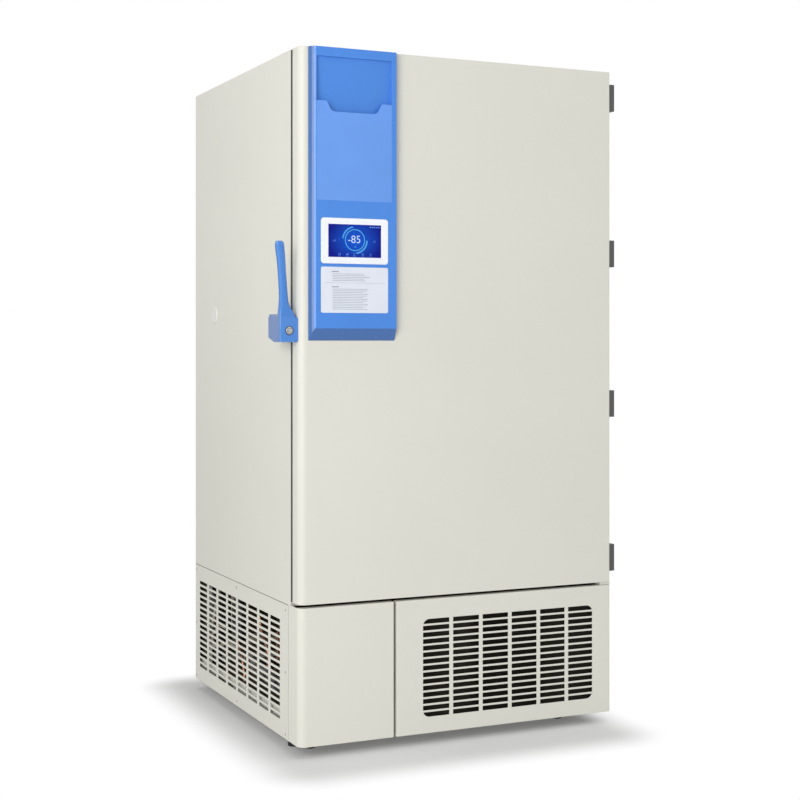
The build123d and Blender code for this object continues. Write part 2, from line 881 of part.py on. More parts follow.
def cut_return(x0, x1):
    """What is taken from a side that folds back no further than the flanges."""
    return block(x0, x1, lower_flange, lower_return, skirt_bottom, lower_top)


def front_panel():
    """The plain cover at the left."""
    panel = lower_panel(-half_width, lower_left_split, door_left_radius, inner_fold_radius)
    return panel - cut_return(lower_left_split - panel_sheet, lower_left_split)


grille_axis = (half_width - grille_hinge_inset, lower_return - grille_hinge_setback)
tab_top = body_bottom - panel_gap
tab_left = grille_axis[0] - grille_tab_reach


def grille_door():
    """The grilled cover at the right; it swings on pins near its right side."""
    door = lower_panel(lower_right_split, half_width, inner_fold_radius, door_right_radius)
    door -= cut_return(lower_right_split, lower_right_split + panel_sheet)
    window = plate(grille_left, grille_right, grille_bottom, grille_top, grille_radius, 0, panel_sheet)
    holes = slot_field("Y", grille_left, grille_right, grille_bottom, grille_top, grille_columns,
                       grille_rows, grille_bar, grille_rib, 0, panel_sheet)
    door -= [window & hole for hole in holes]
    tab_front = grille_axis[1] - grille_hinge_inset
    swing_front = cabinet_front - grille_swing_gap
    door -= block(half_width - door_right_radius, half_width, swing_front, lower_return, body_bottom - panel_gap,
                  lower_top)
    for low in (skirt_bottom, tab_top - panel_sheet):
        door += block(tab_left, half_width - panel_sheet, tab_front, lower_return, low, low + panel_sheet)
        door -= rod("Z", grille_axis, grille_pin_radius + running_clearance, low, low + panel_sheet)
    return door


def air_filter():
    """A framed filter mat on the back of the grille door."""
    left = grille_left - filter_margin
    right = grille_right + filter_margin
    low = grille_bottom - filter_margin
    high = grille_top + filter_margin
    back = panel_sheet + filter_thickness
    frame = block(left, right, panel_sheet, back, low, high)
    frame -= block(left + filter_margin, right - filter_margin, panel_sheet, back,
                   low + filter_margin, high - filter_margin)
    mat_front = panel_sheet + filter_thickness / 3
    return frame + block(left + filter_margin, right - filter_margin, mat_front,
                         mat_front + filter_thickness / 3, low + filter_margin, high - filter_margin)


def side_grille(side):
    """A side cover of the machine space with its slots."""
    outer = side * half_width
    start, end = sorted((outer, outer - side * panel_sheet))
    panel = block(start, end, lower_return + side_seam, cabinet_back - panel_sheet, skirt_bottom, body_bottom)
    holes = slot_field("X", side_field_front, side_field_back, grille_bottom, side_field_top,
                       side_columns, side_rows, side_bar, side_rib, start, end)
    return panel - holes


inlet_right = half_width - inlet_inset
inlet_low = base_bottom + inlet_rise


def rear_cover():
    """The cover behind the machine space, with two fields of long slots and a hole for the inlet."""
    front = cabinet_back - panel_sheet
    cover = block(-half_width, half_width, front, cabinet_back, skirt_bottom, body_bottom)
    half = half_width - rear_side_rim
    slots = slot_field("Y", -half, half, grille_bottom, side_field_top, rear_columns, rear_rows, rear_bar,
                       rear_rib, front, cabinet_back)
    return cover - slots - block(inlet_right - inlet_width, inlet_right, front, cabinet_back, inlet_low,
                                 inlet_low + inlet_height)


def power_inlet():
    """The mains inlet in the rear cover: a hollow socket with three blades."""
    left = inlet_right - inlet_width
    mid_x = inlet_right - inlet_width / 2
    mid_z = inlet_low + inlet_height / 2
    body = block(left, inlet_right, cabinet_back - inlet_depth, cabinet_back, inlet_low,
                 inlet_low + inlet_height)
    floor = cabinet_back - inlet_depth + inlet_wall
    body -= block(left + inlet_wall, inlet_right - inlet_wall, floor, cabinet_back,
                  inlet_low + inlet_wall, inlet_low + inlet_height - inlet_wall)
    half = inlet_blade_sheet / 2
    for blade in range(inlet_blades):
        x = mid_x + (blade - (inlet_blades - 1) / 2) * inlet_width / 5
        body += block(x - half, x + half, floor, cabinet_back - inlet_wall, mid_z - inlet_wall,
                      mid_z + inlet_wall)
    return body


def wall_spacers():
    """Two bent bars on the back that keep the freezer off the wall."""
    spacers = []
    reach = cabinet_back + spacer_reach - spacer_radius
    half = half_width - spacer_side_inset
    for height in (body_bottom + spacer_low_rise, cabinet_top - spacer_high_drop):
        ends = [(side * half, cabinet_back, height) for side in (-1, 1)]
        corners = [(side * half, reach, height) for side in (-1, 1)]
        spacers.append(tube([ends[0], corners[0], corners[1], ends[1]], spacer_radius, spacer_radius * 2))
    return group(spacers)


# Base and machinery

base_half = half_width - base_inset
base_front = lower_return + base_setback
base_back = cabinet_back - base_inset
post_front = base_front + base_sheet
caster_across = half_width - caster_side_inset
caster_front = lower_return + caster_front_inset
caster_rear = cabinet_back - caster_back_inset
foot_across = half_width - foot_side_inset
foot_front = lower_return + foot_setback


def tube(points, radius, bend):
    """A round tube through some points, with a bend of one radius at each corner."""
    path = FilletPolyline(*points, radius=bend)
    run = Vector(*points[1]) - Vector(*points[0])
    return sweep(Plane(origin=points[0], z_dir=run) * Circle(radius), path=path)


def grille_door_ear(low, pin_bottom, pin_top):
    """An arm from the base frame to the grille door's axis, with its pin."""
    x, y = grille_axis
    half = grille_pin_radius
    elbow = tab_left - elbow_gap
    ear = block(elbow - post_size / 2, x + half, y - half, y + half, low, low + grille_tab)
    ear += block(elbow - post_size / 2, elbow, y - half, post_front, low, low + grille_tab)
    return ear + rod("Z", grille_axis, grille_pin_radius, pin_bottom, pin_top)


def base_frame():
    """A folded floor tray on which four posts carry the cabinet, with two ears for the grille door."""
    frame = block(-base_half, base_half, base_front, base_back, base_bottom, base_bottom + base_lip)
    frame -= block(-base_half + base_sheet, base_half - base_sheet, post_front, base_back - base_sheet,
                   base_top, base_bottom + base_lip)
    outer = base_half - base_sheet
    for side in (-1, 1):
        for depth in (post_front, base_back - base_sheet - post_size):
            x0, x1 = sorted((side * outer, side * (outer - post_size)))
            frame += block(x0, x1, depth, depth + post_size, base_top, body_bottom)
    high = tab_top - panel_sheet - tab_gap - grille_tab
    frame += grille_door_ear(high, high, tab_top)
    low = skirt_bottom + panel_sheet + tab_gap
    frame += grille_door_ear(low, skirt_bottom, low + grille_tab)
    elbow = tab_left - elbow_gap
    frame += block(elbow - post_size / 2, elbow, base_front, post_front, low, base_top)
    for side in (-1, 1):
        for depth in (caster_front, caster_rear):
            frame -= rod("Z", (side * caster_across, depth), stem_radius + running_clearance,
                         base_bottom, base_top)
        frame -= rod("Z", (side * foot_across, foot_front), foot_stem_radius + running_clearance,
                     base_bottom, base_top)
    return frame


pot_low = base_top + grommet_height
pot_waist = pot_low + compressor_height / 2
pot_wall = compressor_radius - girdle_step
compressor_1 = (-half_width + compressor_1_from_left, cabinet_back - compressor_1_from_back)
compressor_2 = (-half_width + compressor_2_from_left, cabinet_back - compressor_2_from_back)


def compressor(place):
    """A hermetic compressor: a domed pot with a welded girdle, a foot, a terminal box and grommets."""
    x, y = place
    r = compressor_radius
    top = pot_low + compressor_height
    crown = compressor_height / 6
    dome = r * compressor_dome_share
    profile = [(0, pot_low), (dome, pot_low), (pot_wall, pot_low + crown), (pot_wall, pot_waist), (r, pot_waist),
               (r, pot_waist + girdle_height), (pot_wall, pot_waist + girdle_height), (pot_wall, top - crown),
               (dome, top - crown / 4), (0, top)]
    pot = revolve(Plane.XZ * make_face(Polyline(*profile, close=True)), Axis.Z)
    body = Pos(x, y, 0) * pot
    half_x = compressor_foot_length / 2
    half_y = compressor_foot_width / 2
    body += block(x - half_x, x + half_x, y - half_y, y + half_y, pot_low, pot_low + foot_sheet)
    for side_x in (-1, 1):
        for side_y in (-1, 1):
            spot = (x + side_x * (half_x - grommet_height), y + side_y * (half_y - grommet_height))
            body += rod("Z", spot, grommet_radius, base_top, pot_low)
    return body + block(x + r / 2, x + r + terminal_reach, y - terminal_reach, y + terminal_reach,
                        pot_waist - terminal_reach * 2, pot_waist)


def liquid_receiver():
    """A round-ended black bottle on a stem beside the compressors."""
    place = (-half_width + receiver_from_left, cabinet_back - receiver_from_back)
    low = base_top + receiver_stem_height
    bottle = rod("Z", place, receiver_radius, low, low + receiver_length)
    bottle = fillet(bottle.edges().filter_by(GeomType.CIRCLE), receiver_radius * compressor_dome_share)
    foot = rod("Z", place, receiver_radius, base_top, base_top + foot_sheet)
    return bottle + foot + rod("Z", place, receiver_stem_radius, base_top, low + receiver_radius)


condenser_left = lower_right_split + condenser_left_rim
condenser_right = half_width - condenser_right_rim
condenser_front = lower_return + condenser_setback
condenser_high = base_top + condenser_height
condenser_back = condenser_front + condenser_depth


def condenser():
    """The condenser: a finned core between end plates, with the return bends of its tube."""
    core = block(condenser_left, condenser_right, condenser_front, condenser_back, base_top, condenser_high)
    pitch = (condenser_right - condenser_left) / condenser_fins
    half_groove = pitch * fin_groove_share / 2
    middles = [condenser_left + (fin + 0.5) * pitch for fin in range(condenser_fins)]
    grooves = [block(middle - half_groove, middle + half_groove, condenser_front, condenser_front + fin_depth,
                     base_top + fin_depth, condenser_high - fin_depth) for middle in middles]
    core -= grooves
    step = condenser_height / condenser_rows
    middle = condenser_front + condenser_depth / 2
    for row in range(condenser_rows - 1):
        side = 1 if row % 2 else -1
        edge = condenser_right if side > 0 else condenser_left
        low = base_top + (row + 0.5) * step
        out = edge + side * step * return_bend_share
        core += tube([(edge, middle, low), (out, middle, low), (out, middle, low + step),
                      (edge, middle, low + step)], tube_radius, step * (1 - return_bend_share))
    return core


fan_x = (condenser_left + condenser_right) / 2
fan_z = base_top + condenser_height / 2
shroud_back = condenser_back + shroud_depth
motor_front = shroud_back + arm_standoff


def fan_shroud():
    """The duct behind the condenser, and the motor that four arms hold behind its opening."""
    duct = block(condenser_left, condenser_right, condenser_back, shroud_back, base_top, condenser_high)
    duct -= block(condenser_left + base_sheet, condenser_right - base_sheet, condenser_back,
                  shroud_back - base_sheet, base_top + base_sheet, condenser_high - base_sheet)
    opening = fan_radius + fan_tip_gap
    duct -= rod("Y", (fan_x, fan_z), opening, condenser_back, shroud_back)
    arm = arm_size
    duct += rod("Y", (fan_x, fan_z), motor_radius, motor_front, motor_front + motor_length)
    for number in range(fan_arm_count):
        turn = (number + 0.5) * 360 / fan_arm_count
        out_x = math.cos(math.radians(turn)) * (opening + arm)
        out_z = math.sin(math.radians(turn)) * (opening + arm)
        duct += (Pos(fan_x + out_x / 2, motor_front + arm / 2, fan_z + out_z / 2) * Rot(0, -turn, 0)
                 * Box(opening + arm, arm, arm * 1.5))
        duct += rod("Y", (fan_x + out_x, fan_z + out_z), arm, shroud_back, motor_front + arm)
    return duct


def fan_blades():
    """The fan: pitched blades on a hub, turning just in front of the motor."""
    back = motor_front - seal_clearance
    front = back - fan_depth
    wheel = rod("Y", (fan_x, fan_z), fan_hub_radius, front, back)
    root = fan_hub_radius * 0.8
    blade = Rot(fan_blade_pitch, 0, 0) * Box(fan_radius - root, fan_blade_sheet, fan_blade_chord)
    for number in range(fan_blade_count):
        turn = Rot(0, 360 / fan_blade_count * number, 0)
        wheel += (Pos(fan_x, (front + back) / 2, fan_z) * turn
                  * Pos((fan_radius + root) / 2 - seal_clearance, 0, 0) * blade)
    return wheel & rod("Y", (fan_x, fan_z), fan_radius, front, back)


def copper_pipes():
    """The discharge pipe to the condenser, the liquid pipe with its drier, and the pipe between stages."""
    (x1, y1), (x2, y2) = compressor_1, compressor_2
    wall = pot_wall + seal_clearance
    middle = condenser_front + condenser_depth / 2
    port = pot_low + compressor_height / 3
    high = condenser_high - pipe_radius * 2
    side = -half_width + pipe_from_left
    rise_y = y1 - discharge_rise_gap
    front_y = y1 - discharge_front_gap
    cross_x = -half_width + discharge_cross
    discharge = tube([(x1 - wall, y1, port), (side, y1, port), (side, rise_y, port),
                      (side, rise_y, discharge_height), (side, front_y, discharge_height),
                      (side, front_y, high), (cross_x, front_y, high), (cross_x, middle, high),
                      (condenser_left, middle, high)], pipe_radius, pipe_bend)
    right = condenser_right + pipe_offset
    back = cabinet_back - liquid_from_back
    low = base_top + pipe_radius * 3
    liquid = tube([(condenser_right, middle, low), (right, middle, low), (right, back, low),
                   (right, back, body_bottom)], pipe_radius, pipe_bend)
    drier_low = base_top + drier_length
    liquid += rod("Z", (right, back), drier_radius, drier_low, drier_low + drier_length)
    stage = tube([(x2 - wall, y2, port), (x2 - wall - pipe_offset, y2, port),
                  (x2 - wall - pipe_offset, y2, body_bottom)], pipe_radius, pipe_bend)
    return group([discharge, liquid, stage])


def suction_lines():
    """Insulated return lines from the cabinet down to the two compressors."""
    lines = []
    port = pot_low + compressor_height * 0.38
    risers = [(-half_width + suction_1_from_left, cabinet_back - suction_1_from_back),
              (-half_width + suction_2_from_left, cabinet_back - suction_2_from_back)]
    for (x, y), (riser_x, riser_y) in zip((compressor_1, compressor_2), risers):
        lines.append(tube([(riser_x, riser_y, body_bottom), (riser_x, riser_y, port), (x, riser_y, port),
                           (x, y + pot_wall + seal_clearance, port)], suction_radius, suction_bend))
    return group(lines)


def control_box():
    """The electrical box behind the plain front panel, with a lid that stands over its edges."""
    left = -half_width + control_from_left
    right = left + control_width
    front = lower_return + control_setback
    lid = control_depth / 8
    box = block(left, right, front + lid, front + control_depth, base_top, base_top + control_height)
    return box + block(left - base_sheet, right + base_sheet, front, front + lid, base_top,
                       base_top + control_height + base_sheet)


# Casters and levelling feet

crown_top = base_bottom - seal_clearance
leg_inner = wheel_width / 2 + wheel_side_gap


def caster_places():
    """The swivel axis of each caster: front left, front right, rear left, rear right."""
    return [(side * caster_across, depth) for depth in (caster_front, caster_rear) for side in (-1, 1)]


def caster_fork(place):
    """A fork with its stem up through the base and its axle through the wheel."""
    x, y = place
    hub_x = x - caster_trail
    outer = leg_inner + fork_sheet
    left = hub_x - stem_radius
    right = x + fork_shoulder
    foot_low = wheel_radius - stem_radius
    fork = block(left, right, y - outer, y + outer, crown_top - fork_sheet, crown_top)
    leg = [(right, crown_top), (left, crown_top), (left, foot_low + stem_radius / 2),
           (hub_x - stem_radius / 2, foot_low), (hub_x + stem_radius / 2, foot_low),
           (right, crown_top - fork_shoulder)]
    for start in (y - outer, y + leg_inner):
        fork += prism("Y", leg, start, start + fork_sheet)
    fork += rod("Y", (hub_x, wheel_radius), axle_radius, y - outer, y + outer)
    fork += rod("Z", place, stem_radius, crown_top, base_top + fork_sheet)
    return fork + rod("Z", place, stem_nut_radius, base_top + seal_clearance, base_top + fork_sheet * 2)


def caster_wheel(place):
    """A wheel with chamfered shoulders and a bore for the axle."""
    x, y = place
    hub = (x - caster_trail, wheel_radius)
    wheel = rod("Y", hub, wheel_radius, y - wheel_width / 2, y + wheel_width / 2)
    wheel = chamfer(wheel.edges().filter_by(GeomType.CIRCLE), wheel_width / 6)
    reach = wheel_width / 2 + hub_side_gap
    wheel += rod("Y", hub, axle_radius * 2, y - reach, y + reach)
    return wheel - rod("Y", hub, axle_radius + running_clearance, y - reach, y + reach)


def levelling_foot(side):
    """A screwed foot: a round pad on a stem that passes up through the base."""
    place = (side * foot_across, foot_front)
    pad = rod("Z", place, foot_radius, 0, foot_thickness)
    pad = chamfer(pad.faces().sort_by(Axis.Z)[-1].edges(), foot_thickness / 3)
    return pad + rod("Z", place, foot_stem_radius, foot_thickness, base_bottom + foot_stem_rise)


# Everything, under its name

nodes = {
    "cabinet_shell": cabinet_shell(),
    "cabinet_foam": cabinet_foam(),
    "inner_liner": inner_liner(),
    "breaker_frame": breaker_frame(),
    "access_port_plug": port_plug(),
    "shelf_supports": shelf_supports(),
    "inner_door_brackets": inner_door_brackets(),
    "door_skin": door_skin(),
    "door_foam": door_foam(),
    "door_liner": door_liner(),
    "door_gasket": door_gasket(),
    "hinge_door_leaves": group([hinge_door_leaf(height) for height in hinge_heights]),
    "hinge_cabinet_leaves": group([hinge_cabinet_leaf(height) for height in hinge_heights]),
    "hinge_pins": group([hinge_pin(height) for height in hinge_heights]),
    "hinge_bracket": hinge_bracket(),
    "door_panel": door_panel(),
    "pocket_window": pocket_window(),
    "display_bezel": display_bezel(),
    "display_screen": display_screen(),
    "info_card": info_card(),
    "latch_base": latch_base(),
    "latch_lever": latch_lever(),
    "latch_hook": latch_hook(),
    "latch_keeper": latch_keeper(),
    "lock_barrel": lock_barrel(),
    "front_panel": front_panel(),
    "grille_door": grille_door(),
    "air_filter": air_filter(),
    "left_side_grille": side_grille(-1),
    "right_side_grille": side_grille(1),
    "rear_cover": rear_cover(),
    "power_inlet": power_inlet(),
    "wall_spacers": wall_spacers(),
    "base_frame": base_frame(),
    "condenser": condenser(),
    "fan_shroud": fan_shroud(),
    "fan_blades": fan_blades(),
    "copper_pipes": copper_pipes(),
    "suction_lines": suction_lines(),
    "control_box": control_box(),
    "liquid_receiver": liquid_receiver(),
    "compressor_1": compressor(compressor_1),
    "compressor_2": compressor(compressor_2),
    "left_levelling_foot": levelling_foot(-1),
    "right_levelling_foot": levelling_foot(1),
}
for cell in range(1, inner_door_count):
    nodes[f"shelf_{cell}"] = shelf(cell)
for cell in range(inner_door_count):
    nodes[f"inner_door_{cell + 1}"] = inner_door(cell)
for name, place in zip(("front_left", "front_right", "rear_left", "rear_right"), caster_places()):
    nodes[f"caster_fork_{name}"] = caster_fork(place)
    nodes[f"caster_wheel_{name}"] = caster_wheel(place)

# The origin goes on the floor, under the middle of the whole
extent = group(nodes.values()).bounding_box()
origin = Pos(-(extent.min.X + extent.max.X) / 2, -(extent.min.Y + extent.max.Y) / 2, 0)

os.makedirs("parts", exist_ok=True)
for name, shape in nodes.items():
    export_step(origin * shape, f"parts/{name}.step")

print("overall", extent.size.X, extent.size.Y, extent.size.Z)
print("moved by", origin.position.X, origin.position.Y)
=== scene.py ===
import json
import math

import bmesh
import bpy
from mathutils import Matrix, Vector


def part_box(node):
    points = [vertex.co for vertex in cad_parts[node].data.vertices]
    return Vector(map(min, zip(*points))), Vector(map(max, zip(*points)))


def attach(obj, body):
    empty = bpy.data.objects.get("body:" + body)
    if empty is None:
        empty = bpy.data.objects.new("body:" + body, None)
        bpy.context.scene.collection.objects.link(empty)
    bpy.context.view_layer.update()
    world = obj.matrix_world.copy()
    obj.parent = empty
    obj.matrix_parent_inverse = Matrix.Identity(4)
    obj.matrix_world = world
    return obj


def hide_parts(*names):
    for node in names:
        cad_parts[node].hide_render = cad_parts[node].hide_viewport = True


# Upright ultra low temperature freezer: looks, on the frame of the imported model.
# Places are written as on the maker's drawing, in millimetres: X from the cabinet's centre line,
# Y from the door's front face to the back, Z from the floor.

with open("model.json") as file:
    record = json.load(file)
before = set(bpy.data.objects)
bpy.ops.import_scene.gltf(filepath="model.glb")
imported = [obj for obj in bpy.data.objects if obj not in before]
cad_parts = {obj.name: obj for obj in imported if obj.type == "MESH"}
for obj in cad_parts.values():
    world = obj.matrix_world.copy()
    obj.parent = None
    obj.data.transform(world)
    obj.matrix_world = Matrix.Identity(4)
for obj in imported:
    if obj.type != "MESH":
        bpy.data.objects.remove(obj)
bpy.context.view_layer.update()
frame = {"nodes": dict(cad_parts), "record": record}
cad = frame["nodes"]

MM = 0.001
CENTRE_X = (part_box("cabinet_shell")[0].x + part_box("cabinet_shell")[1].x) / 2
DOOR_FACE_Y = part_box("door_skin")[0].y


def at(x, y, z):
    """A place on the drawing, as a point in the frame."""
    return Vector((CENTRE_X + x * MM, DOOR_FACE_Y + y * MM, z * MM))


def paint(red, green, blue):
    """A colour given as screen values from 0 to 255, as the shader wants it."""
    levels = []
    for value in (red, green, blue):
        share = value / 255
        levels.append(share / 12.92 if share <= 0.04045 else ((share + 0.055) / 1.055) ** 2.4)
    return (*levels, 1.0)


# Camera, lamps and floor

CAMERA_PLACE = (-1976.7, -3866.5, 1147.7)
CAMERA_TURN = -24.715
CAMERA_LENS = 67.995
CAMERA_SHIFT_Y = -0.0741


def set_camera():
    lens = bpy.data.cameras.new("photo_camera")
    lens.lens = CAMERA_LENS
    lens.sensor_width = 36
    lens.shift_y = CAMERA_SHIFT_Y
    lens.clip_end = 100
    camera = bpy.data.objects.new("photo_camera", lens)
    camera.location = at(*CAMERA_PLACE)
    camera.rotation_euler = (math.radians(90), 0, math.radians(CAMERA_TURN))
    bpy.context.scene.collection.objects.link(camera)
    bpy.context.scene.camera = camera


def softbox(name, place, target, width, height, watts):
    """A plain white area lamp, turned to face a place; both are metres in the frame."""
    light = bpy.data.lights.new(name, "AREA")
    light.shape = "RECTANGLE"
    light.size = width
    light.size_y = height
    light.energy = watts
    lamp = bpy.data.objects.new(name, light)
    lamp.location = place
    lamp.rotation_euler = (Vector(target) - Vector(place)).to_track_quat("-Z", "Y").to_euler()
    bpy.context.scene.collection.objects.link(lamp)


def set_lamps():
    softbox("key_front_left", (-3.9, -3.55, 2.2), (0, -0.2, 0.9), 2.6, 3.0, 148)
    softbox("fill_top", (0.2, -0.4, 4.6), (0, 0, 1), 3.5, 3.5, 45)
    softbox("rim_right", (3.4, -1.3, 1.5), (0.4, -0.4, 1.0), 0.8, 2.6, 24)


SKY_LEVEL = 0.44


def set_world():
    """Even studio light; the camera, glossy surfaces and clear ones see plain white."""
    world = bpy.data.worlds.new("studio")
    bpy.context.scene.world = world
    world.use_nodes = True
    nodes, links = world.node_tree.nodes, world.node_tree.links
    nodes.clear()
    path = nodes.new("ShaderNodeLightPath")
    seen = nodes.new("ShaderNodeMath")
    seen.operation = "MAXIMUM"
    links.new(path.outputs["Is Camera Ray"], seen.inputs[0])
    links.new(path.outputs["Is Transmission Ray"], seen.inputs[1])
    glossy = nodes.new("ShaderNodeMath")
    glossy.operation = "MAXIMUM"
    links.new(seen.outputs[0], glossy.inputs[0])
    links.new(path.outputs["Is Glossy Ray"], glossy.inputs[1])
    soft = nodes.new("ShaderNodeBackground")
    soft.inputs["Color"].default_value = (1, 1, 1, 1)
    soft.inputs["Strength"].default_value = SKY_LEVEL
    white = nodes.new("ShaderNodeBackground")
    white.inputs["Color"].default_value = (1, 1, 1, 1)
    white.inputs["Strength"].default_value = 1.0
    mix = nodes.new("ShaderNodeMixShader")
    links.new(glossy.outputs[0], mix.inputs["Fac"])
    links.new(soft.outputs[0], mix.inputs[1])
    links.new(white.outputs[0], mix.inputs[2])
    out = nodes.new("ShaderNodeOutputWorld")
    links.new(mix.outputs[0], out.inputs["Surface"])


FLOOR_REACH = 40
FLOOR_COLOUR = 0.9
FLOOR_SHOWN = 0.6
FLOOR_LIFT = 0.13
SHADOW_LEFT_FRONT = (-500, -100)
SHADOW_RIGHT_BACK = (400, 980)
FADE_START = 0.02
FADE_END = 0.2


def set_floor():
    """A pale floor that keeps the freezer's shadow and turns plain white away from it.

    The camera sees it a little darker than the lamps do, so that the shadow reads, and the fade to
    white goes by the distance from the rectangle that the shadow lies round.
    """
    corners = [(-FLOOR_REACH, -FLOOR_REACH, 0), (FLOOR_REACH, -FLOOR_REACH, 0),
               (FLOOR_REACH, FLOOR_REACH, 0), (-FLOOR_REACH, FLOOR_REACH, 0)]
    floor = mesh_piece("studio_floor", corners, [(0, 1, 2, 3)])
    material = bpy.data.materials.new("studio_floor")
    material.use_nodes = True
    nodes, links = material.node_tree.nodes, material.node_tree.links
    nodes.clear()
    plain = nodes.new("ShaderNodeBsdfDiffuse")
    plain.inputs["Color"].default_value = (FLOOR_COLOUR, FLOOR_COLOUR, FLOOR_COLOUR, 1)
    shown = nodes.new("ShaderNodeBsdfDiffuse")
    shown.inputs["Color"].default_value = (FLOOR_SHOWN, FLOOR_SHOWN, FLOOR_SHOWN, 1)
    glow = nodes.new("ShaderNodeEmission")
    glow.inputs["Strength"].default_value = FLOOR_LIFT
    near = nodes.new("ShaderNodeAddShader")
    links.new(shown.outputs[0], near.inputs[0])
    links.new(glow.outputs[0], near.inputs[1])
    white = nodes.new("ShaderNodeEmission")
    low, high = at(*SHADOW_LEFT_FRONT, 0), at(*SHADOW_RIGHT_BACK, 0)
    place = nodes.new("ShaderNodeTexCoord")
    step = place.outputs["Object"]
    for operation, value in (("SUBTRACT", (low + high) / 2), ("ABSOLUTE", None),
                             ("SUBTRACT", (high - low) / 2), ("MAXIMUM", (0, 0, 0)), ("LENGTH", None)):
        distance = nodes.new("ShaderNodeVectorMath")
        distance.operation = operation
        links.new(step, distance.inputs[0])
        if value is not None:
            distance.inputs[1].default_value = value
        step = distance.outputs[0]
    fade = nodes.new("ShaderNodeMapRange")
    fade.interpolation_type = "SMOOTHSTEP"
    fade.inputs["From Min"].default_value = FADE_START
    fade.inputs["From Max"].default_value = FADE_END
    links.new(distance.outputs["Value"], fade.inputs["Value"])
    seen = nodes.new("ShaderNodeMixShader")
    links.new(fade.outputs["Result"], seen.inputs["Fac"])
    links.new(near.outputs[0], seen.inputs[1])
    links.new(white.outputs[0], seen.inputs[2])
    path = nodes.new("ShaderNodeLightPath")
    both = nodes.new("ShaderNodeMixShader")
    links.new(path.outputs["Is Camera Ray"], both.inputs["Fac"])
    links.new(plain.outputs[0], both.inputs[1])
    links.new(seen.outputs[0], both.inputs[2])
    out = nodes.new("ShaderNodeOutputMaterial")
    links.new(both.outputs[0], out.inputs["Surface"])
    floor.data.materials.append(material)


# Mesh helpers

def mesh_piece(name, points, faces, smooth=False):
    """A new piece from points in the frame and faces between them."""
    mesh = bpy.data.meshes.new(name)
    mesh.from_pydata([tuple(p) for p in points], [], faces)
    mesh.polygons.foreach_set("use_smooth", [smooth] * len(mesh.polygons))
    mesh.update()
    piece = bpy.data.objects.new(name, mesh)
    bpy.context.scene.collection.objects.link(piece)
    return piece


def rings_piece(name, rings, closed_ends=True, smooth=True):
    """A skin over rings of points, all with the same number of points."""
    count = len(rings[0])
    points = [p for ring in rings for p in ring]
    faces = []
    for level in range(len(rings) - 1):
        low, high = level * count, (level + 1) * count
        for k in range(count):
            n = (k + 1) % count
            faces.append((low + k, low + n, high + n, high + k))
    if closed_ends:
        faces.append(tuple(reversed(range(count))))
        faces.append(tuple(range(len(points) - count, len(points))))
    piece = mesh_piece(name, points, faces, smooth)
    point_outwards(piece)
    return piece


def point_outwards(piece):
    """Merges double points and turns every face outwards."""
    work = bmesh.new()
    work.from_mesh(piece.data)
    bmesh.ops.remove_doubles(work, verts=work.verts, dist=1e-6)
    bmesh.ops.recalc_face_normals(work, faces=work.faces)
    work.to_mesh(piece.data)
    work.free()
    piece.data.update()


def finished(piece, body, finish):
    """Applies the modifiers, gives the finish and lets the piece ride."""
    if piece.modifiers:
        graph = bpy.context.evaluated_depsgraph_get()
        mesh = bpy.data.meshes.new_from_object(piece.evaluated_get(graph), depsgraph=graph)
        piece.modifiers.clear()
        old = piece.data
        piece.data = mesh
        mesh.name = piece.name
        bpy.data.meshes.remove(old)
    if finish is not None:
        piece.data.materials.clear()
        piece.data.materials.append(finish)
    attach(piece, body)
    return piece


# Finishes

